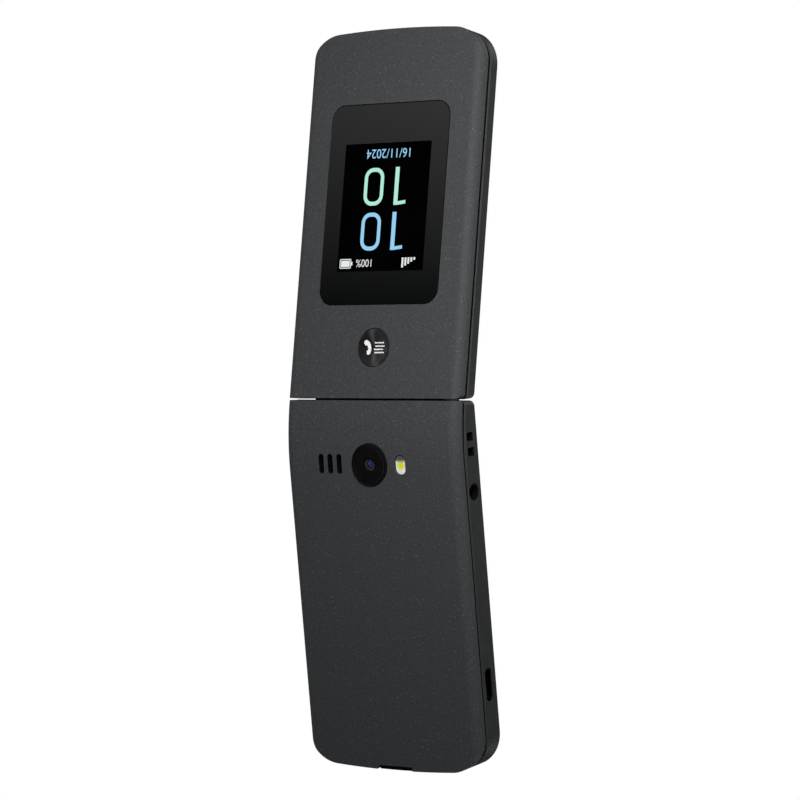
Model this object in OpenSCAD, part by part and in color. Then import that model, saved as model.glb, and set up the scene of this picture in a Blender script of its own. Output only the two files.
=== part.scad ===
// Flip phone, open, lying on its back, on the camera ring.
// Body towards -Y, lid towards +Y and raised, hinge axis along X, +Z up.
// Both halves are drawn in one "half frame": x across, u (along Y) from the hinge axis to the
// far end, w up from the parting plane between the inner faces. Outer faces have negative w.
// body_place() and lid_place() put a half frame where it belongs.

/* [Both halves] */
// Width of both halves
half_w = 57; // [56.6:0.2:66]
// Length from the hinge axis to the far end
half_len = 99.7; // [99.4:0.1:112]
// Radius of the two far corners
corner_r = 10; // [9:0.5:12]
// Radius of the gently arched far end
end_arch_r = 280; // [200:10:600]
// Radius of the small corners beside the hinge
hinge_corner_r = 1.5; // [1:0.1:2.5]
// Radius of the rolled long edges of the two outer covers
edge_roll_r = 3; // [2.4:0.1:3.4]
// Angle between the halves when the lid is fully open
open_angle = 165; // [155:1:172]
// Gap between the inner faces when the lid is closed
closed_gap = 0.4; // [0.3:0.05:0.8]
// Gap between the halves beside the barrel when the lid is open
hinge_gap = 0.5; // [0.4:0.1:1.2]

/* [Walls and clearances] */
// Wall of the two outer covers
cover_wall = 1; // [0.8:0.1:1.3]
// Wall of the two side bands
band_wall = 1.2; // [1:0.1:1.4]
// Front wall of the keypad shell
keypad_face_t = 1; // [0.9:0.05:1.3]
// Front wall of the lid bezel
bezel_face_t = 1.2; // [1.1:0.05:1.5]
// Depth of the lid's seam below its outer face
lid_seam_depth = 2.75; // [2.4:0.05:3]
// Depth of the body's seam below its back
body_seam_depth = 2.9; // [2.6:0.05:3.4]
// Open width of the seam between cover and side band
seam_gap = 0.2; // [0.1:0.05:0.3]
// Clearance between stacked inner pieces
stack_gap = 0.05; // [0.03:0.01:0.1]
// Clearance round seated pieces
seat_gap = 0.1; // [0.05:0.05:0.2]
// Clearance round keys in their openings
key_gap = 0.15; // [0.1:0.05:0.25]
// Radial clearance of the turning hinge pieces
run_gap = 0.05; // [0.03:0.01:0.1]

/* [Hinge] */
// Radius of the hinge barrel
barrel_r = 3.8; // [3.6:0.1:4.2]
// End of the barrel on the socket side
barrel_x_min = -21.1; // [-21.6:0.1:-20.6]
// Joint between the socket-side ear and the lid barrel
ear_joint_left = -13.4; // [-14:0.1:-13]
// Joint between the lid barrel and the other ear
ear_joint_right = 14.9; // [14.5:0.1:15.5]
// End of the barrel on the volume-key side
barrel_x_max = 21.1; // [20.6:0.1:21.6]
// Width of the gap beside each ear
ear_gap = 0.1; // [0.08:0.01:0.15]
// Clearance between the barrel and the coves in the halves
cove_gap = 0.3; // [0.25:0.05:0.4]
// Outer radius of the hinge can
can_r = 2.95; // [2.8:0.05:3.1]
// Wall of the hinge can
can_wall = 0.35; // [0.3:0.05:0.45]
// Radius of the cam shaft
shaft_r = 1.5; // [1.3:0.1:1.6]
// Mean radius of the hinge spring
spring_r = 2.05; // [2:0.05:2.1]
// Radius of the hinge spring's wire
spring_wire_r = 0.25; // [0.2:0.01:0.3]
// Outer radius of the flex sleeve
sleeve_r = 2.3; // [2.2:0.05:2.5]
// Wall of the flex sleeve
sleeve_wall = 0.45; // [0.35:0.05:0.5]
// Thickness of the flex cable
flex_t = 0.2; // [0.12:0.01:0.22]

/* [Keys] */
// Travel of every key
key_travel = 0.3; // [0.2:0.05:0.35]
// Thickness of a key's hidden flange
key_flange_t = 0.3; // [0.25:0.05:0.4]
// Width of a key's flange beyond its cap
key_flange_w = 0.4; // [0.3:0.05:0.45]
// Height of the key tops above the keypad face
key_proud = 0.12; // [0.05:0.01:0.15]
// Space between number keys, across
digit_gap_x = 1.2; // [1.1:0.05:2]
// Space between number keys, along
digit_gap_u = 1.7; // [1.2:0.1:2.5]
// Distance of the number keys from the long sides
digit_side = 4.65; // [4.5:0.05:6]
// Place of the first row of number keys
digit_row_u = 50.2; // [49.8:0.1:51]
// Distance of the last row of number keys from the far end
digit_end = 18.6; // [18:0.1:22]
// Corner radius of the keys
key_corner_r = 1.6; // [0.8:0.1:2]
// Width of the soft, call and end keys
func_w = 11.2; // [9:0.1:11.4]
// Height of the soft, call and end keys
func_h = 6.6; // [5:0.1:6.8]
// Distance of the soft, call and end keys from the long sides
func_side = 5.8; // [5.2:0.1:6]
// Place of the soft keys
soft_u = 13.9; // [13.8:0.1:14.4]
// Place of the call and end keys
call_u = 34.2; // [33.8:0.1:35]
// Place of the clear key
clear_u = 40.2; // [40:0.1:40.6]
// Height of the clear key
clear_h = 5; // [4:0.1:5.4]
// Place of the navigation ring
nav_u = 25.4; // [25.2:0.1:25.6]
// Outer radius of the navigation ring
nav_r = 9.6; // [8.5:0.1:9.8]
// Radius of the centre key
centre_key_r = 4.5; // [4:0.1:5]
// Radius of the quick key on the lid
quick_key_r = 5.17; // [4.6:0.01:5.4]
// Place of the quick key
quick_key_u = 12.95; // [12.6:0.05:13.5]

/* [Body back] */
// Place of the camera, sound slots and flash
camera_u = 16.2; // [15.8:0.1:16.8]
// Outer radius of the camera ring
camera_ring_r = 5.65; // [5.2:0.05:6]
// Height of the camera ring above the back
camera_proud = 0.6; // [0.3:0.1:0.8]
// Radius of the camera glass
camera_glass_r = 4.9; // [4.6:0.05:4.95]
// Thickness of the camera glass
camera_glass_t = 0.6; // [0.4:0.1:0.7]
// Radius of the camera's lens barrel
lens_r = 2.2; // [1.8:0.1:3]
// Side of the camera module
camera_side = 8.5; // [7:0.5:9]
// Distance of the flash from the camera
flash_x = -9.9; // [-10.5:0.1:-9.7]
// Width of the flash window
flash_w = 3.2; // [2.6:0.1:3.4]
// Height of the flash window
flash_h = 5.1; // [4.4:0.1:5.6]
// Depth of the flash lens below the back
flash_recess = 0.45; // [0.1:0.05:0.6]
// Distance of the middle sound slot from the camera
sound_x = 13.15; // [13:0.05:13.5]
// Pitch of the sound slots
sound_pitch = 3; // [2.6:0.1:3.2]
// Width of a sound slot
sound_w = 1.65; // [1.2:0.05:1.8]
// Height of a sound slot
sound_h = 5.3; // [4:0.1:6]
// Width of the fingernail notch
notch_w = 11.7; // [8:0.1:14]
// Depth of the fingernail notch
notch_depth = 1.2; // [0.9:0.1:1.5]
// Depth of the ledge in the notch below the back
ledge_drop = 0.5; // [0.3:0.1:1]

/* [Body sides] */
// Depth of the sockets' middle line below the parting plane
socket_depth = 3.5; // [3.45:0.01:3.6]
// Place of the headphone socket
jack_u = 24.15; // [24:0.05:24.4]
// Radius of the headphone socket's bore
jack_r = 1.8; // [1.75:0.01:1.85]
// Depth of the headphone socket's bore
jack_depth = 12; // [11:0.5:12]
// Wall round the headphone socket's mouth
jack_collar = 0.45; // [0.35:0.05:0.5]
// Distance of the USB-C socket from the far end
usb_end = 23.7; // [22:0.1:26]
// Width of the USB-C socket's shell
usb_w = 8.94; // [8.6:0.02:9]
// Height of the USB-C socket's shell
usb_h = 3.16; // [2.9:0.02:3.2]
// Sheet of the USB-C socket's shell
usb_wall = 0.3; // [0.2:0.05:0.35]
// Length of the USB-C socket
usb_len = 7.3; // [6:0.1:7.4]
// Middle of the pair of lanyard holes
lanyard_u = 11.38; // [11.3:0.02:11.5]
// Pitch of the lanyard holes
lanyard_pitch = 4.05; // [3.9:0.05:4.2]
// Height of a lanyard hole along the side
lanyard_h = 2.3; // [2:0.1:2.4]
// Width of a lanyard hole across the side
lanyard_w = 2.7; // [2.2:0.1:2.8]
// Place of the volume rocker
volume_u = 13.5; // [13.2:0.1:13.8]
// Length of the volume rocker
volume_len = 13; // [10:0.5:13.4]
// Height of the volume rocker
volume_h = 2.4; // [2:0.1:2.6]
// Height of the volume rocker above the side
volume_proud = 0.4; // [0.2:0.1:0.5]

/* [Body inside] */
// Thickness of the key mat
mat_t = 0.2; // [0.15:0.05:0.3]
// Thickness of the dome sheet
dome_sheet_t = 0.1; // [0.08:0.01:0.15]
// Height of a metal dome
dome_h = 0.12; // [0.1:0.01:0.2]
// Radius of a metal dome
dome_r = 2; // [1.5:0.1:2.4]
// Thickness of the main board
main_board_t = 0.7; // [0.6:0.05:1]
// Floor of the battery bay
bay_floor_t = 0.6; // [0.5:0.05:0.8]
// Thickness of the battery
battery_t = 4.8; // [4.4:0.1:5.6]
// Rim of the chassis beside the battery
battery_side = 1.3; // [1.2:0.05:2]
// Rib of the chassis between the battery and the sockets
battery_rib = 0.8; // [0.6:0.1:1.5]
// Space between the headphone socket and the battery, for its contacts
battery_start = 2.05; // [2:0.05:4]
// Distance of the battery from the far end
battery_end = 18.5; // [18.3:0.1:24]
// Gap between the battery and the back cover
battery_gap = 0.13; // [0.1:0.01:0.3]
// Start of the boards behind the hinge
board_u = 9.3; // [9.2:0.1:9.4]
// Distance of the key mat from the long sides
mat_side = 4.1; // [4:0.1:4.6]
// Distance of the key mat from the far end
mat_end = 13; // [12:0.1:13.4]

/* [Lid] */
// Middle of the outer window
window_u = 51.9; // [51.7:0.1:52.2]
// Width of the outer window
window_w = 39.2; // [37:0.1:40]
// Height of the outer window
window_h = 54.8; // [51:0.1:56]
// Corner radius of the outer window
window_corner_r = 4.3; // [3:0.1:5]
// Thickness of the outer window
window_t = 0.7; // [0.5:0.05:0.8]
// Middle of the outer display's picture
outer_screen_u = 51; // [50.8:0.1:51.4]
// Width of the outer display
outer_display_w = 34.7; // [33:0.1:35]
// Height of the outer display
outer_display_h = 46.7; // [44:0.1:47]
// Thickness of the outer display
outer_display_t = 2; // [1.8:0.05:2.3]
// Start of the main window, from the hinge axis
main_window_start = 13.2; // [12.8:0.1:15]
// Distance of the main window from the far end
main_window_end = 8.1; // [8:0.1:12]
// Distance of the main window from the long sides
main_window_side = 2.7; // [2.5:0.1:5]
// Thickness of the main window
main_window_t = 0.7; // [0.5:0.05:0.8]
// Width of the main display beyond the window
main_display_extra = 0.8; // [0.4:0.1:1]
// Shortfall of the main display behind each end of the window
main_display_short = 2.9; // [2.5:0.1:5]
// Black border of the window beside the picture
screen_side = 1; // [0.8:0.1:4]
// Black border of the window before and behind the picture
screen_end = 6.2; // [5:0.1:8]
// Thickness of the main display
main_display_t = 2; // [1.8:0.05:2.3]
// Thickness of the stiffening plate
plate_t = 0.3; // [0.2:0.05:0.5]
// Thickness of the lid board
lid_board_t = 0.6; // [0.5:0.05:0.8]
// Distance of the lid board from the long sides
lid_board_side = 7.5; // [7:0.1:12]
// Distance of the earpiece from the far end
earpiece_end = 4.7; // [4.6:0.1:4.9]
// Distance of the magnet from the middle
magnet_x = 12; // [10:0.1:13]
// Width of the magnet
magnet_w = 5; // [3:0.1:5.4]

/* [Screws] */
// Radius of a screw's thread
screw_r = 0.7; // [0.6:0.05:0.8]
// Radius of a screw's head
screw_head_r = 1.25; // [1.1:0.05:1.35]
// Height of a screw's head
screw_head_t = 0.6; // [0.5:0.05:0.7]
// Radius of the screw bosses
boss_r = 1.9; // [1.7:0.05:2]

/* [Hidden] */
$fn = 64;
far = 300;
eps = 0.01;

// Heights in the body, down from the parting plane (all negative)
face_w = -closed_gap / 2;
shell_in_w = face_w - keypad_face_t;
flange_top_w = shell_in_w - stack_gap;
flange_low_w = flange_top_w - key_flange_t;
mat_top_w = flange_low_w - key_travel - stack_gap;
mat_low_w = mat_top_w - mat_t;
nub_low_w = mat_low_w - seat_gap;
dome_top_w = nub_low_w - key_travel - stack_gap;
sheet_top_w = dome_top_w - dome_h;
board_top_w = sheet_top_w - dome_sheet_t;
board_low_w = board_top_w - main_board_t;
bay_top_w = board_low_w - stack_gap;
bay_low_w = bay_top_w - bay_floor_t;
battery_top_w = bay_low_w - stack_gap;
battery_low_w = battery_top_w - battery_t;
back_in_w = battery_low_w - battery_gap;
body_depth = -(back_in_w - cover_wall);

// Heights in the lid, from the parting plane towards the outer face (all negative)
bezel_in_w = face_w - bezel_face_t;
main_display_top_w = bezel_in_w - stack_gap;
main_display_low_w = main_display_top_w - main_display_t;
plate_top_w = main_display_low_w - stack_gap;
plate_low_w = plate_top_w - plate_t;
lid_board_top_w = plate_low_w - stack_gap;
lid_board_low_w = lid_board_top_w - lid_board_t;
outer_display_top_w = lid_board_low_w - stack_gap;
outer_display_low_w = outer_display_top_w - outer_display_t;
lid_in_w = outer_display_low_w - 2 * stack_gap;
lid_depth = -(lid_in_w - cover_wall);

// The hinge: its axis is the half frame's x axis
lean = (180 - open_angle) / 2;
lid_rise = 2 * lean;
hinge_z = body_depth + camera_proud;
lid_reach = half_len * cos(lid_rise) + lid_depth * sin(lid_rise);
hinge_y = (half_len - lid_reach) / 2;
cove_r = barrel_r + cove_gap;
cove_wall_r = cove_r + band_wall;
cove_x = max(-barrel_x_min, barrel_x_max) + cove_gap;
web_low_w = -4.7;
web_top_w = -2;
web_len = 8.8;
barrel_left = ear_joint_left + ear_gap / 2;
barrel_right = ear_joint_right - ear_gap / 2;
ear_left = ear_joint_left - ear_gap / 2;
ear_right = ear_joint_right + ear_gap / 2;
can_left = -0.9;
can_right = barrel_right - seat_gap;
cam_left = can_right - 3.7;
cam_t = 2.6;
follower_t = 2.5;
follower_gap = 0.3;
follower_right = cam_left - follower_gap;
shaft_end = ear_right + 5.4;
sleeve_in = -9.5;
sleeve_out = ear_left - 2.2;
flex_r = sleeve_r - sleeve_wall - seat_gap;
flex_mid = -13;
lid_flex_x = [-4.2, -2.9];
body_flex_x = [-19.6, -16.4];
flex_side = 0.2;
flex_tail_low = -flex_r;
ear_bore_end = -20.1;

// The back cover curves up towards the hinge so that it ends flush with the open lid.
// The curve's radius and start are whole hundredths, so that its straight and round runs meet.
function hundredths(v) = round(v * 100) / 100;
back_curve_r = hundredths((body_depth - lid_depth) / (1 - cos(lid_rise)));
edge_u = (hinge_gap / 2 - lid_depth * sin(lean)) / cos(lean);
curve_u = hundredths(back_curve_r * sin(lid_rise) + edge_u);

// Plan of the halves
arch_u = half_len - end_arch_r;
corner_x = half_w / 2 - corner_r;
corner_u = arch_u + sqrt(pow(end_arch_r - corner_r, 2) - pow(corner_x, 2));
side_x = half_w / 2;
inner_x = side_x - band_wall;

// Where the body's inner pieces sit
jack_body_w = 6;
usb_u = half_len - usb_end;
usb_body_x = -side_x + 0.4 + usb_len;
battery_right = inner_x - battery_side;
battery_left = usb_body_x + battery_rib;
battery_u = jack_u + jack_body_w / 2 + battery_start;
battery_end_u = half_len - battery_end;
jack_body_low_w = -socket_depth - 2.4;
jack_body_top_w = -socket_depth + 2;
usb_low_w = -socket_depth - usb_h / 2;
lanyard_boss_x = -side_x + 4.3;
lanyard_boss_len = lanyard_pitch + lanyard_h + 1.7;
lanyard_tunnel_x = [-side_x + 1.9, -side_x + 3.3];
far_screw_x = corner_x + 4.2;
body_screw_spots = [[-inner_x + 2.5, 18.3], [inner_x - 2.5, 24.4],
    [-far_screw_x, corner_u + 4], [far_screw_x, corner_u + 4]];
lid_screw_spots = [[-inner_x + 3.1, 7.6], [inner_x - 3.1, 7.6], [-corner_x - 1, corner_u + 5.9],
    [corner_x + 1, corner_u + 5.9]];
lower_u = battery_end_u + 2;
sim_w = 15.5;
sim_len = 12.5;
sim_t = 1.4;
motor_r = 4;
motor_t = 2.7;
motor_spot = [15.6, lower_u + 5.4];
shield_left = -far_screw_x + screw_head_r + 0.6;
shield_right = -sim_w / 2 - 2.6;
shield_spot = [(shield_left + shield_right) / 2, lower_u + 5.6];
shield_size = [shield_right - shield_left, 11];
shield_t = 1.4;
mic_spot = [0, half_len - 6.4];
earpiece_u = half_len - earpiece_end;
hall_spot = [magnet_x, earpiece_u];
speaker_size = [15, 11];
speaker_low_w = -body_depth + cover_wall + 0.7;
speaker_t = 3;
camera_low_w = -body_depth + cover_wall + 0.8;
camera_seat_w = -body_depth + cover_wall + battery_gap - 0.03;
flash_low_w = -body_depth + flash_recess;
led_low_w = flash_low_w + 1.6;
contact_w = 3.1;
nav_tab_w = 3;
nav_tab_x = nav_r + 0.3;
nav_pin_len = 0.6;
volume_pin_len = 0.4;
volume_flange_x = inner_x - 0.3;
first_hook_u = battery_u + 6.8;
last_hook_u = half_len - 13.7;
hook_u = [for (i = [0:3]) first_hook_u + (last_hook_u - first_hook_u) * i / 3];
hook_top_w = -body_depth + body_seam_depth - 1 - seat_gap;

// Where the lid's inner pieces sit
main_window_w = half_w - 2 * main_window_side;
main_window_h = half_len - main_window_end - main_window_start;
main_window_u = main_window_start + main_window_h / 2;
main_display_w = main_window_w + main_display_extra;
main_display_h = main_window_h - 2 * main_display_short;
screen_w = main_window_w - 2 * screen_side;
screen_h = main_window_h - 2 * screen_end;
earpiece_size = [12, 6];
bumper_r = 2;
bumper_t = 0.55;
bumper_proud = 0.12;

// Keys in rows of three from 1 to #, then the others: [x, u, width, height]
digit_pitch_x = (half_w - 2 * digit_side + digit_gap_x) / 3;
digit_w = digit_pitch_x - digit_gap_x;
digit_pitch_u = (half_len - digit_end - digit_row_u) / 3;
digit_h = digit_pitch_u - digit_gap_u;
func_x = side_x - func_side - func_w / 2;
digit_keys = [for (i = [0:11]) [(i % 3 - 1) * digit_pitch_x,
    digit_row_u + floor(i / 3) * digit_pitch_u, digit_w, digit_h]];
func_keys = [[-func_x, soft_u, func_w, func_h], [func_x, soft_u, func_w, func_h],
    [-func_x, call_u, func_w, func_h], [func_x, call_u, func_w, func_h],
    [0, clear_u, func_w, clear_h]];
box_keys = concat(digit_keys, func_keys);

// ---- shared shapes ----

module body_place() { translate([0, hinge_y, hinge_z]) mirror([0, 1, 0]) children(); }

module lid_place() { translate([0, hinge_y, hinge_z]) rotate([lid_rise, 0, 0]) children(); }

// A flat shape in x and u, from height w0 up to w1
module slab(w0, w1) { translate([0, 0, w0]) linear_extrude(w1 - w0) children(); }

// A rod along x round the hinge axis
module rod(r, x0, x1) { translate([x0, 0, 0]) rotate([0, 90, 0]) cylinder(r = r, h = x1 - x0); }

module box(x0, x1, u0, u1, w0, w1) {
    translate([x0, u0, w0]) cube([x1 - x0, u1 - u0, w1 - w0]);
}

// Rounded rectangle about the origin
module rounded(w, h, r) {
    square([w, h - 2 * r], center = true);
    square([w - 2 * r, h], center = true);
    for (sx = [-1, 1], sy = [-1, 1]) translate([sx * (w / 2 - r), sy * (h / 2 - r)]) circle(r);
}

// Plan of a half, moved in by inset: straight sides, round far corners, arched far end
module plan(inset) {
    r = corner_r - inset;
    arch = end_arch_r - inset;
    hw = side_x - inset;
    out = (arch + 5) / (arch - r);
    translate([-hw, -8]) square([2 * hw, corner_u + 8]);
    for (s = [-1, 1]) translate([s * corner_x, corner_u]) circle(r);
    intersection() {
        translate([0, arch_u]) circle(arch, $fn = 1440);
        polygon([[-corner_x, corner_u], [corner_x, corner_u],
            [corner_x * out, arch_u + (corner_u - arch_u) * out],
            [-corner_x * out, arch_u + (corner_u - arch_u) * out]]);
    }
}

// Everything beyond the leaning hinge end, with its two small corners
module beyond_hinge_end(inset) {
    r = hinge_corner_r;
    hw = side_x - inset;
    u0 = hinge_gap / 2 + inset;
    rotate([-lean, 0, 0]) slab(-30, 30) {
        translate([-hw, u0 + r]) square([2 * hw, half_len + 30]);
        translate([-hw + r, u0]) square([2 * hw - 2 * r, r + 1]);
        for (s = [-1, 1]) translate([s * (hw - r), u0 + r]) circle(r);
    }
}

// Cross-section of a half with rolled outer edges: x across, second axis up from the outer face
module rolled_section(inset) {
    r = edge_roll_r - inset;
    hw = side_x - inset;
    translate([-hw, r]) square([2 * hw, 14 - r]);
    translate([-hw + r, 0]) square([2 * hw - 2 * r, 14]);
    for (s = [-1, 1]) translate([s * (hw - r), r]) circle(r);
}

// Straight run of a half whose outer face lies at depth
module straight_form(depth, inset, u0) {
    translate([0, half_len + 10, -depth + inset]) rotate([90, 0, 0])
        linear_extrude(half_len + 10 - u0) rolled_section(inset);
}

// The body's form: straight, then curving up towards the hinge
module body_form(inset) {
    straight_form(body_depth, inset, curve_u);
    translate([0, curve_u, back_curve_r - body_depth]) mirror([0, 1, 0]) rotate([0, 90, 0])
        rotate_extrude(angle = 20, $fn = 720)
            translate([back_curve_r - inset, 0]) rotate([0, 0, 90]) rolled_section(inset);
}

module lid_form(inset) { straight_form(lid_depth, inset, -8); }

// One half as a solid block, moved in by inset on all outer sides
module half_block(inset, is_body) {
    intersection() {
        if (is_body) body_form(inset); else lid_form(inset);
        slab(-30, face_w) plan(inset);
        beyond_hinge_end(inset);
    }
}

// Room inside a side band, up to height w1
module band_room(inset, w1) {
    intersection() {
        slab(-30, w1) plan(inset);
        beyond_hinge_end(inset);
    }
}

// Everything further in than depth below the outer face
module above_layer(depth, is_body) {
    outer = is_body ? body_depth : lid_depth;
    start = is_body ? curve_u : -20;
    rotate([90, 0, 90]) translate([0, 0, -60]) linear_extrude(120) {
        translate([start, depth - outer]) square([far, 60]);
        if (is_body) intersection() {
            translate([curve_u, back_curve_r - body_depth]) circle(back_curve_r - depth, $fn = 1440);
            translate([curve_u - 40, -body_depth]) square([40, 40]);
        }
    }
}

// Outer cover: the skin of the outer face and the rolled edges, down to the seam
module cover_skin(seam_depth, is_body) {
    difference() {
        half_block(0, is_body);
        above_layer(seam_depth - seam_gap, is_body);
        intersection() {
            half_block(cover_wall, is_body);
            band_room(cover_wall, 0);
        }
        rod(cove_r, -cove_x, cove_x);
    }
}

// Side band with a front wall, a lip that holds the cover, and a cove round the barrel
module band_shell(seam_depth, face_in_w, is_body) {
    difference() {
        union() {
            difference() {
                intersection() {
                    half_block(0, is_body);
                    above_layer(seam_depth, is_body);
                }
                band_room(band_wall, face_in_w);
            }
            difference() {
                intersection() {
                    half_block(cover_wall + seat_gap, is_body);
                    above_layer(seam_depth - 1, is_body);
                    band_room(cover_wall + seat_gap, face_in_w);
                }
                band_room(cover_wall + seat_gap + 0.8, face_in_w + eps);
                above_layer(seam_depth + 1, is_body);
            }
            intersection() {
                half_block(cover_wall + seat_gap, is_body);
                rod(cove_wall_r, -cove_x - band_wall, cove_x + band_wall);
            }
        }
        rod(cove_r, -cove_x, cove_x);
    }
}

// Slot for the flat run of the flex cable, from the axis to behind the cove
module flex_slot(x) {
    box(x[0] - flex_side, x[1] + flex_side, 0, cove_wall_r + 1, flex_tail_low - seat_gap, flex_tail_low + flex_t + 0.15);
}

// Room for a web that joins a hinge piece to its half
module web_room(x0, x1, clear) {
    box(x0 - clear, x1 + clear, -1, web_len + 1, web_low_w - clear, web_top_w + clear);
}

// ---- body ----

// Snap hooks of the back cover, which grip under the lip of the side band
module cover_hooks() {
    for (s = [-1, 1], u = hook_u) translate([s * (side_x - cover_wall - 0.2), u, 0])
        slab(hook_top_w - 0.5, hook_top_w) square([0.9, 4], center = true);
}

module back_cover() color([0.25, 0.255, 0.26]) body_place() difference() {
    union() {
        cover_skin(body_seam_depth, true);
        cover_hooks();
    }
    translate([0, camera_u, -body_depth - 1]) cylinder(r = camera_ring_r + seat_gap, h = 4);
    translate([flash_x, camera_u, 0]) slab(-body_depth - 1, -body_depth + 3)
        rounded(flash_w + 2 * seat_gap, flash_h + 2 * seat_gap, flash_w / 2);
    for (i = [-1:1]) translate([sound_x + i * sound_pitch, camera_u, 0])
        slab(-body_depth - 1, -body_depth + 3) rounded(sound_w, sound_h, sound_w / 2 - 0.1);
    slab(-body_depth - 1, -body_depth + body_seam_depth + 1) polygon([
        [-notch_w / 2, half_len + 2], [notch_w / 2, half_len + 2],
        [notch_w / 2, half_len - notch_depth * 0.4],
        [notch_w / 2 - notch_depth * 0.6, half_len - notch_depth],
        [-notch_w / 2, half_len - notch_depth]]);
}

// Ledge of the side band in the notch, which the nail pushes against to lift the cover
module notch_ledge() {
    intersection() {
        half_block(stack_gap, true);
        box(-notch_w / 2 + seat_gap, notch_w / 2 - notch_depth * 0.6 - seat_gap,
            half_len - band_wall, half_len, -body_depth + ledge_drop,
            -body_depth + body_seam_depth + band_wall);
    }
}

// Lanyard post: a boss behind the side band with two holes joined by a tunnel
module lanyard_boss(clear) {
    box(-side_x + band_wall / 2, lanyard_boss_x + clear, lanyard_u - lanyard_boss_len / 2 - clear,
        lanyard_u + lanyard_boss_len / 2 + clear, -socket_depth - lanyard_w / 2 - 1 - clear,
        shell_in_w + eps);
}

module lanyard_holes() {
    for (s = [-1, 1]) translate([0, lanyard_u + s * lanyard_pitch / 2, -socket_depth])
        translate([-side_x - 1, -lanyard_h / 2, -lanyard_w / 2])
            cube([lanyard_tunnel_x[1] + side_x + 1, lanyard_h, lanyard_w]);
    box(lanyard_tunnel_x[0], lanyard_tunnel_x[1], lanyard_u - (lanyard_pitch + lanyard_h) / 2,
        lanyard_u + (lanyard_pitch + lanyard_h) / 2, -socket_depth - lanyard_w / 2,
        -socket_depth + lanyard_w / 2);
}

// Opening in the side band for the volume rocker
module volume_room(clear, x0) {
    box(x0, side_x + 2, volume_u - volume_len / 2 - clear, volume_u + volume_len / 2 + clear,
        -socket_depth - volume_h / 2 - clear, -socket_depth + volume_h / 2 + clear);
}

module key_openings(clear) {
    for (k = box_keys) translate([k[0], k[1]])
        rounded(k[2] + 2 * clear, k[3] + 2 * clear, key_corner_r + clear);
    translate([0, nav_u]) circle(nav_r + clear);
}

module boss_stack(spots, r, w0, w1) {
    for (p = spots) translate([p[0], p[1], w0]) cylinder(r = r, h = w1 - w0);
}

module keypad_shell() color([0.16, 0.17, 0.17]) body_place() difference() {
    union() {
        band_shell(body_seam_depth, shell_in_w, true);
        intersection() {
            half_block(0, true);
            lanyard_boss(0);
        }
        boss_stack(body_screw_spots, boss_r, board_top_w, shell_in_w + eps);
        notch_ledge();
    }
    slab(shell_in_w - 1, 1) key_openings(key_gap);
    lanyard_holes();
    translate([-side_x - 1, jack_u, -socket_depth]) rotate([0, 90, 0])
        cylinder(r = jack_r + jack_collar + stack_gap, h = band_wall + 3);
    translate([-side_x - 1, usb_u, -socket_depth]) rotate([90, 0, 90])
        linear_extrude(band_wall + 3) rounded(usb_w + 0.1, usb_h + 0.1, usb_h / 2 - 0.05);
    volume_room(key_gap, inner_x - 3);
    translate([mic_spot[0], mic_spot[1], shell_in_w - 1]) cylinder(r = 0.5, h = 3);
    boss_stack(body_screw_spots, screw_r, board_top_w - 1, shell_in_w + 0.4);
    for (x = [[barrel_x_min, ear_left], [ear_right, barrel_x_max]]) web_room(x[0], x[1], seat_gap);
    flex_slot(body_flex_x);
}

module chassis() color([0.2, 0.2, 0.2]) body_place() difference() {
    intersection() {
        half_block(cover_wall + battery_gap, true);
        slab(-30, bay_top_w) intersection() {
            plan(cover_wall + seat_gap + 0.8 + seat_gap);
            translate([-side_x, board_u]) square([half_w, half_len]);
        }
    }
    box(battery_left - seat_gap, battery_right + seat_gap, battery_u - seat_gap,
        battery_end_u + seat_gap, -30, bay_low_w);
    box(-contact_w * 1.5, contact_w * 1.5, battery_u - 2.6, battery_u, -30, 0);
    translate([0, camera_u, 0]) slab(-30, 0)
        square(camera_side + 2 * seat_gap, center = true);
    translate([sound_x, camera_u, 0]) slab(-30, speaker_low_w + speaker_t)
        square([speaker_size[0] + 2 * seat_gap, speaker_size[1] + 2 * seat_gap], center = true);
    translate([flash_x, camera_u, 0]) slab(-30, 0)
        square([flash_w + 0.3, flash_h + 0.3], center = true);
    box(-side_x, -side_x + jack_depth + 1.6, jack_u - jack_body_w / 2 - seat_gap,
        jack_u + jack_body_w / 2 + seat_gap, jack_body_low_w - seat_gap, 0);
    box(-side_x, usb_body_x + seat_gap, usb_u - usb_w / 2 - seat_gap, usb_u + usb_w / 2 + seat_gap,
        usb_low_w - seat_gap, 0);
    lanyard_boss(seat_gap);
    box(-sim_w / 2 - seat_gap, sim_w / 2 + seat_gap, lower_u - seat_gap,
        lower_u + sim_len + seat_gap, -30, 0);
    translate([motor_spot[0], motor_spot[1], -30]) cylinder(r = motor_r + seat_gap, h = 40);
    translate([shield_spot[0], shield_spot[1], 0]) slab(board_low_w - shield_t - seat_gap, 0)
        square([shield_size[0] + 2 * seat_gap, shield_size[1] + 2 * seat_gap], center = true);
    boss_stack(body_screw_spots, screw_r + 0.15, -30, 0);
    boss_stack(body_screw_spots, screw_head_r + 0.15, -30, bay_top_w - 1.2);
    volume_switch_room(seat_gap);
}

module battery() color([0.12, 0.12, 0.13]) body_place()
    translate([(battery_left + battery_right) / 2, (battery_u + battery_end_u) / 2, 0])
        slab(battery_low_w, battery_top_w)
            rounded(battery_right - battery_left, battery_end_u - battery_u, 1);

// Three sprung contacts for the battery, in one block below the main board
module battery_contacts() difference() {
    box(-contact_w * 1.5 + seat_gap, contact_w * 1.5 - seat_gap, battery_u - 2.5,
        battery_u - seat_gap, bay_low_w - 3.4, board_low_w + eps);
    for (i = [-1:1]) box(i * contact_w - 0.5, i * contact_w + 0.5, battery_u - 1.6, battery_u,
        bay_low_w - 3, bay_low_w - 0.8);
}

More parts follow.
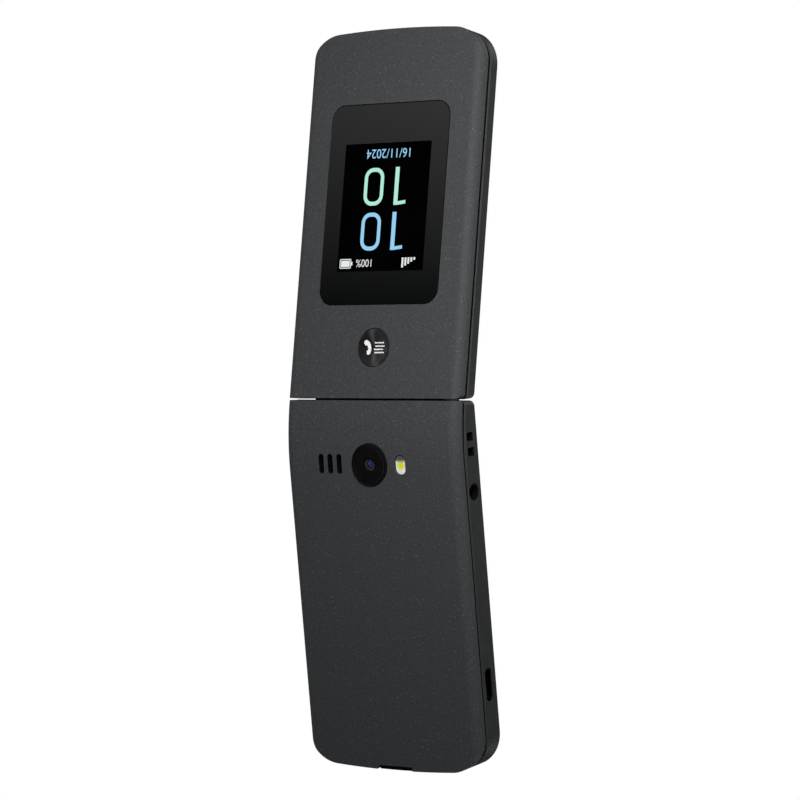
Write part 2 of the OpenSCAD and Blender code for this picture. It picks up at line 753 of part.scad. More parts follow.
// Flash lamp on its spacer below the main board
module flash_lamp() translate([flash_x, camera_u, 0])
    slab(led_low_w, board_low_w + eps) rounded(flash_w - 0.4, flash_h - 1.2, 0.3);

module main_board() color([0.1, 0.3, 0.2]) body_place() {
    difference() {
        slab(board_low_w, board_top_w) intersection() {
            plan(cover_wall + seat_gap + 0.8 + 2 * seat_gap);
            translate([-side_x, board_u]) square([half_w, half_len]);
        }
        box(-side_x, -side_x + jack_depth + 1.8, jack_u - jack_body_w / 2 - seat_gap,
            jack_u + jack_body_w / 2 + seat_gap, -30, 0);
        box(-side_x, usb_body_x + seat_gap, usb_u - usb_w / 2 - seat_gap,
            usb_u + usb_w / 2 + seat_gap, -30, 0);
        lanyard_boss(2 * seat_gap);
        boss_stack(body_screw_spots, screw_r + 0.1, -30, 0);
        volume_switch_room(2 * seat_gap);
    }
    battery_contacts();
    flash_lamp();
    translate([shield_spot[0], shield_spot[1], 0]) slab(board_low_w - shield_t, board_low_w + eps)
        rounded(shield_size[0], shield_size[1], 0.5);
    translate([mic_spot[0], mic_spot[1], 0]) slab(board_top_w - eps, board_top_w + 1)
        square([3.8, 3], center = true);
    translate([hall_spot[0], hall_spot[1], 0]) slab(board_top_w - eps, board_top_w + 0.6)
        square([2, 1.6], center = true);
}

// Area under the keys that the sheet and the mat cover, round the two sockets
module keypad_area(inset) {
    difference() {
        translate([-side_x + mat_side + inset, board_u + 1])
            square([half_w - 2 * (mat_side + inset), half_len - mat_end - board_u - 1]);
        translate([-side_x, jack_u - jack_body_w / 2 - 0.4])
            square([jack_depth + 2.1, jack_body_w + 0.8]);
        translate([-side_x, usb_u - usb_w / 2 - 0.4])
            square([usb_body_x + side_x + 0.4, usb_w + 0.8]);
        translate([-side_x, lanyard_u - lanyard_boss_len / 2 - 0.4])
            square([lanyard_boss_x + side_x + 0.4, lanyard_boss_len + 0.8]);
        for (p = body_screw_spots) translate(p) circle(boss_r + 0.2);
    }
}

// Places of the switches under the keys
function nub_spots() = concat([for (k = box_keys) [k[0], k[1]]], [[0, nav_u]],
    [for (s = [-1, 1]) [0, nav_u + s * (nav_r + centre_key_r) / 2]]);

module dome_sheet() color([0.75, 0.76, 0.78]) body_place() {
    slab(board_top_w, sheet_top_w) keypad_area(0.3);
    for (p = nub_spots()) translate([p[0], p[1], sheet_top_w - eps])
        cylinder(r = dome_r, h = dome_h + eps);
}

module key_mat() color([0.82, 0.84, 0.86]) body_place() difference() {
    slab(mat_low_w, mat_top_w) keypad_area(0);
    for (p = nub_spots()) translate([p[0], p[1], mat_low_w - 1]) cylinder(r = 1.5, h = 3);
}

module nub(x, u) {
    translate([x, u, nub_low_w]) cylinder(r = 1.2, h = flange_low_w - nub_low_w + eps);
}

// A box-shaped key: cap, retaining flange and the nub that works the switch
module box_key(k) color([0.2, 0.2, 0.21]) body_place() {
    translate([k[0], k[1], 0]) {
        slab(flange_top_w - eps, face_w + key_proud) rounded(k[2], k[3], key_corner_r);
        slab(flange_low_w, flange_top_w) rounded(k[2] + 2 * key_flange_w,
            k[3] + 2 * key_flange_w, key_corner_r + key_flange_w);
    }
    nub(k[0], k[1]);
}

module soft_key_left() box_key(func_keys[0]);

module soft_key_right() box_key(func_keys[1]);

module call_key() box_key(func_keys[2]);

module end_key() box_key(func_keys[3]);

module clear_key() box_key(func_keys[4]);

module key_1() box_key(digit_keys[0]);

module key_2() box_key(digit_keys[1]);

module key_3() box_key(digit_keys[2]);

module key_4() box_key(digit_keys[3]);

module key_5() box_key(digit_keys[4]);

module key_6() box_key(digit_keys[5]);

module key_7() box_key(digit_keys[6]);

module key_8() box_key(digit_keys[7]);

module key_9() box_key(digit_keys[8]);

module key_star() box_key(digit_keys[9]);

module key_0() box_key(digit_keys[10]);

module key_hash() box_key(digit_keys[11]);

module nav_ring() color([0.3, 0.3, 0.31]) body_place() {
    difference() {
        translate([0, nav_u, 0]) union() {
            slab(flange_top_w - eps, face_w + key_proud) circle(nav_r);
            slab(flange_low_w, flange_top_w) {
                circle(nav_r - 0.3);
                square([2 * nav_tab_x, nav_tab_w], center = true);
            }
            translate([0, 0, (flange_low_w + flange_top_w) / 2])
                rod(key_flange_t / 2, -nav_tab_x - nav_pin_len, nav_tab_x + nav_pin_len);
        }
        translate([0, nav_u, -20]) cylinder(r = centre_key_r + key_gap, h = 30);
        translate([0, nav_u, -20]) cylinder(r = centre_key_r + key_flange_w + key_gap,
            h = 20 + flange_top_w + 2 * stack_gap);
    }
    for (s = [-1, 1]) nub(0, nav_u + s * (nav_r + centre_key_r) / 2);
}

module centre_key() color([0.22, 0.22, 0.23]) body_place() {
    translate([0, nav_u, 0]) {
        slab(flange_top_w - stack_gap - eps, face_w + key_proud) circle(centre_key_r);
        slab(flange_low_w, flange_top_w - stack_gap) circle(centre_key_r + key_flange_w);
    }
    nub(0, nav_u);
}

module volume_key() color([0.2, 0.2, 0.21]) body_place() {
    box(volume_flange_x - eps, side_x + volume_proud, volume_u - volume_len / 2,
        volume_u + volume_len / 2, -socket_depth - volume_h / 2, -socket_depth + volume_h / 2);
    box(volume_flange_x - 0.4, volume_flange_x, volume_u - volume_len / 2,
        volume_u + volume_len / 2, -socket_depth - volume_h / 2 - 0.5,
        -socket_depth + volume_h / 2 + 0.4);
    translate([volume_flange_x - 0.2, volume_u, -socket_depth - volume_h / 2 - 0.5 - volume_pin_len])
        cylinder(r = 0.2, h = volume_h + 0.9 + 2 * volume_pin_len);
}

module volume_switch_room(clear) {
    box(inner_x - 2.7 - clear, side_x, volume_u - volume_len / 2 - 0.6, volume_u + 6.5 + clear,
        -socket_depth - volume_h / 2 - 0.6 - volume_pin_len - clear, 0);
}

module volume_switch() color([0.6, 0.6, 0.62]) body_place() {
    box(inner_x - 2.7, inner_x - 1.5, volume_u - 5.5, volume_u + 5.5, -socket_depth - 1.3,
        -socket_depth + 1);
    for (s = [-1, 1]) translate([inner_x - 1.5 - eps, volume_u + s * 3.6, -socket_depth])
        rotate([0, 90, 0]) cylinder(r = 0.8, h = 0.5);
}

module camera_ring() color([0.05, 0.05, 0.055]) body_place()
    translate([0, camera_u, 0]) difference() {
        translate([0, 0, -body_depth - camera_proud])
            cylinder(r = camera_ring_r, h = body_depth + camera_proud + camera_seat_w);
        translate([0, 0, -body_depth - camera_proud - 1])
            cylinder(r = camera_glass_r, h = 1.15 + camera_glass_t);
        translate([0, 0, -30]) cylinder(r = camera_glass_r - 0.6, h = 40);
    }

module camera_glass() color([0.02, 0.02, 0.03]) body_place()
    translate([0, camera_u, -body_depth - camera_proud + 0.15])
        cylinder(r = camera_glass_r - 0.02, h = camera_glass_t);

module camera_module() color([0.1, 0.1, 0.11]) body_place() translate([0, camera_u, 0]) {
    slab(camera_low_w, board_low_w) rounded(camera_side, camera_side, 0.6);
    difference() {
        translate([0, 0, -body_depth - camera_proud + 0.25 + camera_glass_t])
            cylinder(r = lens_r, h = camera_low_w + body_depth + camera_proud - 0.2
                - camera_glass_t);
        translate([0, 0, -body_depth - camera_proud]) cylinder(r = lens_r * 0.6,
            h = 0.75 + camera_glass_t);
    }
}

module flash_lens() color([0.9, 0.9, 0.85]) body_place()
    translate([flash_x, camera_u, 0]) slab(flash_low_w, led_low_w - stack_gap)
        rounded(flash_w, flash_h, flash_w / 2 - 0.02);

module loudspeaker() color([0.15, 0.15, 0.16]) body_place()
    translate([sound_x, camera_u, 0]) difference() {
        slab(speaker_low_w, speaker_low_w + speaker_t)
            rounded(speaker_size[0], speaker_size[1], 1.2);
        slab(speaker_low_w - 1, speaker_low_w + 0.5)
            rounded(speaker_size[0] - 3, speaker_size[1] - 3, 1);
    }

module headphone_socket() color([0.07, 0.07, 0.07]) body_place() difference() {
    union() {
        translate([-side_x + 0.15, jack_u, -socket_depth]) rotate([0, 90, 0])
            cylinder(r = jack_r + jack_collar, h = jack_depth);
        box(-inner_x + seat_gap, -side_x + jack_depth + 1.5, jack_u - jack_body_w / 2,
            jack_u + jack_body_w / 2, jack_body_low_w, jack_body_top_w);
    }
    translate([-side_x - 1, jack_u, -socket_depth]) rotate([0, 90, 0])
        cylinder(r = jack_r, h = jack_depth + 1);
}

module usb_socket() color([0.7, 0.7, 0.72]) body_place()
    translate([-side_x + 0.4, usb_u, -socket_depth]) rotate([90, 0, 90]) {
        difference() {
            linear_extrude(usb_len) rounded(usb_w, usb_h, usb_h / 2 - 0.02);
            translate([0, 0, -1]) linear_extrude(usb_len)
                rounded(usb_w - 2 * usb_wall, usb_h - 2 * usb_wall, usb_h / 2 - usb_wall - 0.02);
        }
        translate([-usb_w / 2 + 1.12, -0.35, 0.6]) cube([usb_w - 2.24, 0.7, usb_len - 1.2]);
    }

module sim_holder() color([0.75, 0.75, 0.77]) body_place() difference() {
    box(-sim_w / 2, sim_w / 2, lower_u, lower_u + sim_len, board_low_w - sim_t, board_low_w);
    box(-sim_w / 2 + 0.4, sim_w / 2 - 0.4, lower_u - 1, lower_u + sim_len - 0.4,
        board_low_w - sim_t + 0.25, board_low_w - 0.3);
}

module vibration_motor() color([0.7, 0.7, 0.7]) body_place()
    translate([motor_spot[0], motor_spot[1], board_low_w - motor_t])
        cylinder(r = motor_r, h = motor_t);

module body_screws() color([0.6, 0.6, 0.6]) body_place() {
    boss_stack(body_screw_spots, screw_r, bay_top_w - 1.2, shell_in_w + 0.3);
    boss_stack(body_screw_spots, screw_head_r, bay_top_w - 1.2 - screw_head_t, bay_top_w - 1.2);
}

// ---- hinge ----

module hinge_bracket() color([0.16, 0.17, 0.17]) body_place() difference() {
    union() {
        rod(barrel_r, barrel_x_min, ear_left);
        rod(barrel_r, ear_right, barrel_x_max);
        box(barrel_x_min, ear_left, 0, web_len, web_low_w, web_top_w);
        box(ear_right, barrel_x_max, 0, web_len, web_low_w, web_top_w);
        box(barrel_x_min, barrel_x_max, cove_wall_r + seat_gap, web_len, web_low_w, web_top_w);
    }
    rod(shaft_r, ear_right - 1, shaft_end);
    rod(sleeve_r, ear_bore_end, ear_left + 1);
    flex_slot(body_flex_x);
}

module hinge_cam_shaft() color([0.75, 0.75, 0.77]) body_place() {
    rod(shaft_r, can_left + 0.3, shaft_end - seat_gap);
    difference() {
        rod(can_r - can_wall - run_gap, cam_left, cam_left + cam_t);
        for (s = [-1, 1]) box(cam_left - 1, cam_left + 0.4, s * 2.3 - 0.5, s * 2.3 + 0.5, -4, 4);
    }
}

module hinge_sleeve() color([0.78, 0.66, 0.4]) body_place() difference() {
    rod(sleeve_r, sleeve_out, sleeve_in);
    rod(sleeve_r - sleeve_wall, sleeve_out - 1, sleeve_in + 1);
}

module flex_roll(x0, x1) difference() {
    rod(flex_r, x0, x1);
    rod(flex_r - flex_t, x0 - 1, x1 + 1);
}

module body_flex() color([0.7, 0.45, 0.15]) body_place() {
    flex_roll(ear_bore_end + 0.2, flex_mid);
    box(body_flex_x[0], body_flex_x[1], 0, board_u + 0.5, flex_tail_low, flex_tail_low + flex_t);
    box(body_flex_x[0], body_flex_x[1], board_u + 0.5 - flex_t, board_u + 0.5, board_top_w,
        flex_tail_low + flex_t);
}

module hinge_barrel() color([0.16, 0.17, 0.17]) lid_place() difference() {
    union() {
        rod(barrel_r, barrel_left, barrel_right);
        box(barrel_left, barrel_right, 0, web_len, web_low_w, web_top_w);
    }
    rod(can_r, can_left - 0.1, barrel_right + 1);
    rod(sleeve_r + run_gap, barrel_left - 1, sleeve_in + 0.2);
    rod(flex_r + seat_gap, sleeve_in, -2.4);
    difference() {
        rod(barrel_r + 1, lid_flex_x[0] - flex_side, lid_flex_x[1] + flex_side);
        rod(barrel_r - 0.4, lid_flex_x[0] - 1, lid_flex_x[1] + 1);
        box(lid_flex_x[0] - 1, lid_flex_x[1] + 1, 1.5, web_len, -barrel_r - 2, 0);
    }
    flex_slot(lid_flex_x);
}

module hinge_can() color([0.72, 0.72, 0.74]) lid_place() difference() {
    rod(can_r, can_left, can_right);
    rod(can_r - can_wall, can_left + 0.5, can_right + 1);
    rod(shaft_r + run_gap, can_left - 1, can_left + 1);
}

module hinge_follower() color([0.7, 0.6, 0.4]) lid_place() difference() {
    rod(can_r - can_wall, follower_right - follower_t, follower_right);
    rod(shaft_r + run_gap, follower_right - follower_t - 1, follower_right + 1);
}

// The helical spring: a round wire swept round the axis
spring_left = can_left + 0.5 + spring_wire_r;
spring_right = follower_right - follower_t - spring_wire_r;
spring_turns = 7;
spring_steps = 14;
wire_sides = 8;
spring_count = spring_turns * spring_steps;
function spring_point(i, j) =
    let (a = 360 * i / spring_steps, b = 360 * j / wire_sides,
        r = spring_r + spring_wire_r * cos(b))
    [spring_left + (spring_right - spring_left) * i / spring_count + spring_wire_r * sin(b),
        r * cos(a), r * sin(a)];

module hinge_spring() color([0.6, 0.6, 0.62]) lid_place() polyhedron(
    points = [for (i = [0:spring_count], j = [0:wire_sides - 1]) spring_point(i, j)],
    faces = concat(
        [[for (j = [0:wire_sides - 1]) j]],
        [for (i = [0:spring_count - 1], j = [0:wire_sides - 1])
            let (a = i * wire_sides + j, b = i * wire_sides + (j + 1) % wire_sides)
            [a, a + wire_sides, b + wire_sides, b]],
        [[for (j = [wire_sides - 1:-1:0]) spring_count * wire_sides + j]]));

module lid_flex() color([0.7, 0.45, 0.15]) lid_place() {
    flex_roll(flex_mid + 0.1, -2.8);
    box(lid_flex_x[0], lid_flex_x[1], 0, board_u + 1.7, flex_tail_low, flex_tail_low + flex_t);
    box(lid_flex_x[0], lid_flex_x[1], board_u + 1.7 - flex_t, board_u + 1.7, lid_board_top_w,
        flex_tail_low + flex_t);
}

// ---- lid ----

module lid_cover() color([0.25, 0.255, 0.26]) lid_place() difference() {
    union() {
        cover_skin(lid_seam_depth, false);
        boss_stack(lid_screw_spots, boss_r, lid_in_w - eps, lid_board_low_w - 0.1);
    }
    translate([0, window_u, 0]) slab(-lid_depth - 1, -lid_depth + window_t)
        rounded(window_w + 2 * stack_gap, window_h + 2 * stack_gap, window_corner_r);
    translate([0, outer_screen_u, 0]) slab(-lid_depth - 1, lid_in_w + 1)
        square([outer_display_w - 3.6, outer_display_h - 6.7], center = true);
    translate([0, quick_key_u, -lid_depth - 1]) cylinder(r = quick_key_r + key_gap, h = 3);
    boss_stack(lid_screw_spots, screw_r, lid_in_w + 0.3, 0);
}

module lid_bezel() color([0.16, 0.17, 0.17]) lid_place() difference() {
    union() {
        band_shell(lid_seam_depth, bezel_in_w, false);
        boss_stack(lid_screw_spots, boss_r, lid_board_low_w, bezel_in_w + eps);
    }
    translate([0, main_window_u, 0]) slab(face_w - main_window_t - stack_gap, 1)
        rounded(main_window_w + 2 * stack_gap, main_window_h + 2 * stack_gap, 3);
    translate([0, main_window_u, 0]) slab(bezel_in_w - 1, 1)
        square([screen_w, screen_h], center = true);
    translate([0, earpiece_u, 0]) slab(bezel_in_w - 1, 1) rounded(11, 1.5, 0.7);
    boss_stack(lid_screw_spots, screw_r + 0.1, -20, 1);
    boss_stack(lid_screw_spots, screw_head_r + 0.1, face_w - bumper_t - screw_head_t, 1);
    boss_stack(lid_screw_spots, bumper_r - 0.4, face_w - bumper_t, 1);
    web_room(barrel_left, barrel_right, seat_gap);
    flex_slot(lid_flex_x);
}

module outer_window() color([0.03, 0.03, 0.035]) lid_place()
    translate([0, window_u, 0]) slab(-lid_depth, -lid_depth + window_t)
        rounded(window_w, window_h, window_corner_r - stack_gap);

module outer_display() color([0.08, 0.08, 0.1]) lid_place()
    translate([0, outer_screen_u, 0]) slab(outer_display_low_w, outer_display_top_w)
        rounded(outer_display_w, outer_display_h, 0.4);

module main_window() color([0.03, 0.03, 0.035]) lid_place()
    translate([0, main_window_u, 0]) slab(face_w - main_window_t - stack_gap, face_w - stack_gap)
        rounded(main_window_w, main_window_h, 3 - stack_gap);

module main_display() color([0.08, 0.08, 0.1]) lid_place()
    translate([0, main_window_u, 0]) slab(main_display_low_w, main_display_top_w)
        rounded(main_display_w, main_display_h, 0.4);

module lid_plate() color([0.7, 0.7, 0.72]) lid_place()
    translate([0, main_window_u, 0]) slab(plate_low_w, plate_top_w)
        rounded(main_display_w - 0.4, main_display_h, 2);

module lid_board() color([0.1, 0.3, 0.2]) lid_place() {
    box(-side_x + lid_board_side, side_x - lid_board_side, board_u, main_window_u + main_display_h / 2 - 2, lid_board_low_w,
        lid_board_top_w);
    translate([0, quick_key_u, lid_in_w + 1]) cylinder(r = 2.2, h = lid_board_low_w - lid_in_w - 1);
}

module quick_key() color([0.12, 0.12, 0.125]) lid_place() translate([0, quick_key_u, 0]) {
    rotate_extrude() polygon([[0, -lid_depth + 0.3], [quick_key_r - 0.8, -lid_depth],
        [quick_key_r, -lid_depth], [quick_key_r, lid_in_w + stack_gap], [0, lid_in_w + stack_gap]]);
    slab(lid_in_w + stack_gap - eps, lid_in_w + stack_gap + 0.3) circle(quick_key_r + key_flange_w);
    slab(lid_in_w + 0.3, lid_in_w + 1 - key_travel - stack_gap) circle(1.2);
}

module earpiece() color([0.15, 0.15, 0.16]) lid_place()
    translate([0, earpiece_u, 0]) slab(bezel_in_w - stack_gap - 2, bezel_in_w - stack_gap)
        rounded(earpiece_size[0], earpiece_size[1], 1);

module lid_magnet() color([0.7, 0.7, 0.7]) lid_place()
    box(magnet_x - magnet_w / 2, magnet_x + magnet_w / 2, earpiece_u - 1.5, earpiece_u + 1.5, bezel_in_w - 1.5, bezel_in_w);

module lid_screws() color([0.6, 0.6, 0.6]) lid_place() {
    boss_stack(lid_screw_spots, screw_r, lid_in_w + 0.4, face_w - bumper_t - screw_head_t);
    boss_stack(lid_screw_spots, screw_head_r, face_w - bumper_t - screw_head_t,
        face_w - bumper_t);
}

module lid_bumpers() color([0.06, 0.06, 0.06]) lid_place()
    boss_stack(lid_screw_spots, bumper_r - 0.4 - stack_gap, face_w - bumper_t,
        face_w + bumper_proud);

back_cover();
keypad_shell();
chassis();
battery();
main_board();
dome_sheet();
key_mat();
camera_ring();
camera_glass();
camera_module();
flash_lens();
loudspeaker();
headphone_socket();
usb_socket();
sim_holder();
vibration_motor();
volume_switch();
body_screws();
hinge_bracket();
hinge_cam_shaft();
hinge_sleeve();
body_flex();
volume_key();
nav_ring();
centre_key();
soft_key_left();
soft_key_right();
call_key();
end_key();
clear_key();
key_1();
key_2();
key_3();
key_4();
key_5();
key_6();
key_7();
key_8();
key_9();
key_star();
key_0();
key_hash();
lid_cover();
lid_bezel();
outer_window();
outer_display();
main_window();
main_display();
lid_plate();
lid_board();
earpiece();
lid_magnet();
lid_screws();
lid_bumpers();
hinge_barrel();
hinge_can();
hinge_follower();
hinge_spring();
lid_flex();
quick_key();
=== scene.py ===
import math

import bmesh
import bpy
from mathutils import Matrix, Vector


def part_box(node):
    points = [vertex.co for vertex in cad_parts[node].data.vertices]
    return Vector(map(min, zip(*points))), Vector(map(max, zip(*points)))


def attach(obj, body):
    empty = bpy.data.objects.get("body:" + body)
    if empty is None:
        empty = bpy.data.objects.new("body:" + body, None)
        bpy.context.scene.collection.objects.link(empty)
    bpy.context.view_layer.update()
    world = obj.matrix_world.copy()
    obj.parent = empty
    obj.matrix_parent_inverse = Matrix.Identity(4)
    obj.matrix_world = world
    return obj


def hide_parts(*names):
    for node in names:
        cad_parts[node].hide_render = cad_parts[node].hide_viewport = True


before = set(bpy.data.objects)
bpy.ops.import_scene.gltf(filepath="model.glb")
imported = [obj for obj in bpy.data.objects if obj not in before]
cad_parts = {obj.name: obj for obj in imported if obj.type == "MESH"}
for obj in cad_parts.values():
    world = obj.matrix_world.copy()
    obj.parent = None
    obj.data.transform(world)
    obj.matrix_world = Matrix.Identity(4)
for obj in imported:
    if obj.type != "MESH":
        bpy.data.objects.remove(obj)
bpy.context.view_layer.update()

# ---- Camera ----
# A long lens looks up at the outer side of the open phone from below and from its socket side.
camera_place = Vector((-0.523064, 0.106097, -0.705124))
camera_up = Vector((0.004032, 0.989697, 0.14312))
camera_back = Vector((-0.582628, 0.118644, -0.804032))
lens_data = bpy.data.cameras.new("studio_camera")
lens_data.sensor_width = 36.0
lens_data.lens = 149.67
lens_data.clip_start, lens_data.clip_end = 0.05, 20.0
camera = bpy.data.objects.new("studio_camera", lens_data)
bpy.context.scene.collection.objects.link(camera)
camera_right = camera_up.cross(camera_back)
turn = Matrix((camera_right, camera_up, camera_back)).transposed()
camera.matrix_world = Matrix.Translation(camera_place) @ turn.to_4x4()
bpy.context.scene.camera = camera
bpy.context.scene.view_settings.view_transform = "Standard"

# ---- Room and lamps ----
# A white room with a darker ground and ceiling, two large soft lamps above the phone, and a small
# soft lamp near the phone's outer side, above the camera's line of sight.
room = bpy.data.worlds.new("room")
bpy.context.scene.world = room
room.use_nodes = True
nodes, links = room.node_tree.nodes, room.node_tree.links
nodes.clear()
way = nodes.new("ShaderNodeTexCoord")
split = nodes.new("ShaderNodeSeparateXYZ")
links.new(way.outputs["Generated"], split.inputs[0])
height = nodes.new("ShaderNodeMapRange")
height.inputs["From Min"].default_value = -1.0
links.new(split.outputs["Z"], height.inputs["Value"])
belt = nodes.new("ShaderNodeValToRGB")
ramp = belt.color_ramp
ramp.elements[0].position, ramp.elements[0].color = 0.14, (0, 0, 0, 1)
ramp.elements[1].position, ramp.elements[1].color = 0.78, (0, 0, 0, 1)
for bright in (0.26, 0.62):
    ramp.elements.new(bright).color = (0.9, 0.9, 0.9, 1)
links.new(height.outputs["Result"], belt.inputs["Fac"])
glow = nodes.new("ShaderNodeMapRange")
glow.inputs["To Min"].default_value = 0.03
glow.inputs["To Max"].default_value = 0.25
links.new(belt.outputs["Color"], glow.inputs["Value"])
walls = nodes.new("ShaderNodeBackground")
links.new(glow.outputs["Result"], walls.inputs["Strength"])
white = nodes.new("ShaderNodeBackground")
for paint in (walls, white):
    paint.inputs["Color"].default_value = (1.0, 1.0, 1.0, 1.0)
seen = nodes.new("ShaderNodeLightPath")
either = nodes.new("ShaderNodeMath")
either.operation = "MAXIMUM"
links.new(seen.outputs["Is Camera Ray"], either.inputs[0])
links.new(seen.outputs["Is Transmission Ray"], either.inputs[1])
mirrored = nodes.new("ShaderNodeMath")
mirrored.operation = "MULTIPLY"
links.new(seen.outputs["Is Glossy Ray"], mirrored.inputs[0])
links.new(belt.outputs["Color"], mirrored.inputs[1])
any_view = nodes.new("ShaderNodeMath")
any_view.operation = "MAXIMUM"
links.new(either.outputs[0], any_view.inputs[0])
links.new(mirrored.outputs[0], any_view.inputs[1])
pick = nodes.new("ShaderNodeMixShader")
links.new(any_view.outputs[0], pick.inputs["Fac"])
links.new(walls.outputs[0], pick.inputs[1])
links.new(white.outputs[0], pick.inputs[2])
out = nodes.new("ShaderNodeOutputWorld")
links.new(pick.outputs[0], out.inputs["Surface"])


def soft_lamp(name, place, aim, size, watts):
    lamp = bpy.data.lights.new(name, "AREA")
    lamp.shape = "SQUARE"
    lamp.size = size
    lamp.energy = watts
    holder = bpy.data.objects.new(name, lamp)
    holder.location = place
    holder.rotation_mode = "QUATERNION"
    holder.rotation_quaternion = (Vector(aim) - Vector(place)).to_track_quat("-Z", "Y")
    bpy.context.scene.collection.objects.link(holder)


soft_lamp("lamp_by_camera", (-0.14, 0.14, -0.165), (-0.015, 0.03, 0.01), 0.05, 0.92)
soft_lamp("lamp_above_front", (0.1, -0.35, 1.2), (0.0, 0.0, 0.0), 0.7, 9.5)
soft_lamp("lamp_above_back", (-0.5, 0.6, 1.0), (0.0, 0.0, 0.0), 0.7, 7.0)

# The floor is a plain pale board that only a camera above it sees, so nothing hides the underside.
# It keeps the phone's shadow near by and fades into the white room further off.
board = bmesh.new()
bmesh.ops.create_grid(board, x_segments=1, y_segments=1, size=6.0)
bmesh.ops.translate(board, verts=board.verts, vec=(0, 0, -0.0004))
floor_mesh = bpy.data.meshes.new("floor")
board.to_mesh(floor_mesh)
board.free()
floor = bpy.data.objects.new("floor", floor_mesh)
bpy.context.scene.collection.objects.link(floor)
floor_finish = bpy.data.materials.new("pale_floor")
floor_finish.use_nodes = True
nodes, links = floor_finish.node_tree.nodes, floor_finish.node_tree.links
pale = nodes["Principled BSDF"]
pale.inputs["Roughness"].default_value = 0.9
pale.inputs["Specular IOR Level"].default_value = 0.0
floor_spot = nodes.new("ShaderNodeTexCoord")
cloud = nodes.new("ShaderNodeTexNoise")
cloud.inputs["Scale"].default_value = 3.0
links.new(floor_spot.outputs["Object"], cloud.inputs["Vector"])
shade = nodes.new("ShaderNodeValToRGB")
shade.color_ramp.elements[0].color = (0.80, 0.80, 0.80, 1)
shade.color_ramp.elements[1].color = (0.84, 0.84, 0.84, 1)
links.new(cloud.outputs["Fac"], shade.inputs["Fac"])
links.new(shade.outputs["Color"], pale.inputs["Base Color"])
ray = nodes.new("ShaderNodeLightPath")
side = nodes.new("ShaderNodeNewGeometry")
top_side = nodes.new("ShaderNodeMath")
top_side.operation = "SUBTRACT"
links.new(ray.outputs["Is Camera Ray"], top_side.inputs[0])
links.new(side.outputs["Backfacing"], top_side.inputs[1])
top_side.use_clamp = True
round_phone = nodes.new("ShaderNodeMapping")
round_phone.inputs["Scale"].default_value = (2.0, 2.0, 2.0)
links.new(floor_spot.outputs["Object"], round_phone.inputs["Vector"])
reach = nodes.new("ShaderNodeTexGradient")
reach.gradient_type = "SPHERICAL"
links.new(round_phone.outputs["Vector"], reach.inputs["Vector"])
fading = nodes.new("ShaderNodeMapRange")
fading.interpolation_type = "SMOOTHSTEP"
fading.inputs["From Max"].default_value = 0.6
links.new(reach.outputs["Fac"], fading.inputs["Value"])
far_white = nodes.new("ShaderNodeEmission")
near_far = nodes.new("ShaderNodeMixShader")
links.new(fading.outputs["Result"], near_far.inputs["Fac"])
links.new(far_white.outputs[0], near_far.inputs[1])
links.new(pale.outputs[0], near_far.inputs[2])
pale.inputs["Emission Color"].default_value = (1.0, 1.0, 1.0, 1.0)
pale.inputs["Emission Strength"].default_value = 0.2
clear = nodes.new("ShaderNodeBsdfTransparent")
layer = nodes.new("ShaderNodeMixShader")
links.new(top_side.outputs[0], layer.inputs["Fac"])
links.new(clear.outputs[0], layer.inputs[1])
links.new(near_far.outputs[0], layer.inputs[2])
links.new(layer.outputs[0], nodes["Material Output"].inputs["Surface"])
floor_mesh.materials.append(floor_finish)

# ---- Lid cover ----
# The lid's outer half is moulded in ABS and painted charcoal with fine light flecks, with its long
# edges rolled over. Four screws through the lid's inner half hold it.
mm = 0.001
hinge_line = Vector((0.0, 0.715085 * mm, 10.7 * mm))
open_lean = math.radians(15.0)
lid_place = Matrix.Translation(hinge_line) @ Matrix.Rotation(open_lean, 4, "X")
body_place = Matrix.Translation(hinge_line)


def rgb(red, green, blue):
    """A colour given in the usual 0 to 255 steps, as a shader wants it."""
    steps = [v / 255 for v in (red, green, blue)]
    return (*(v / 12.92 if v <= 0.04045 else ((v + 0.055) / 1.055) ** 2.4 for v in steps), 1.0)


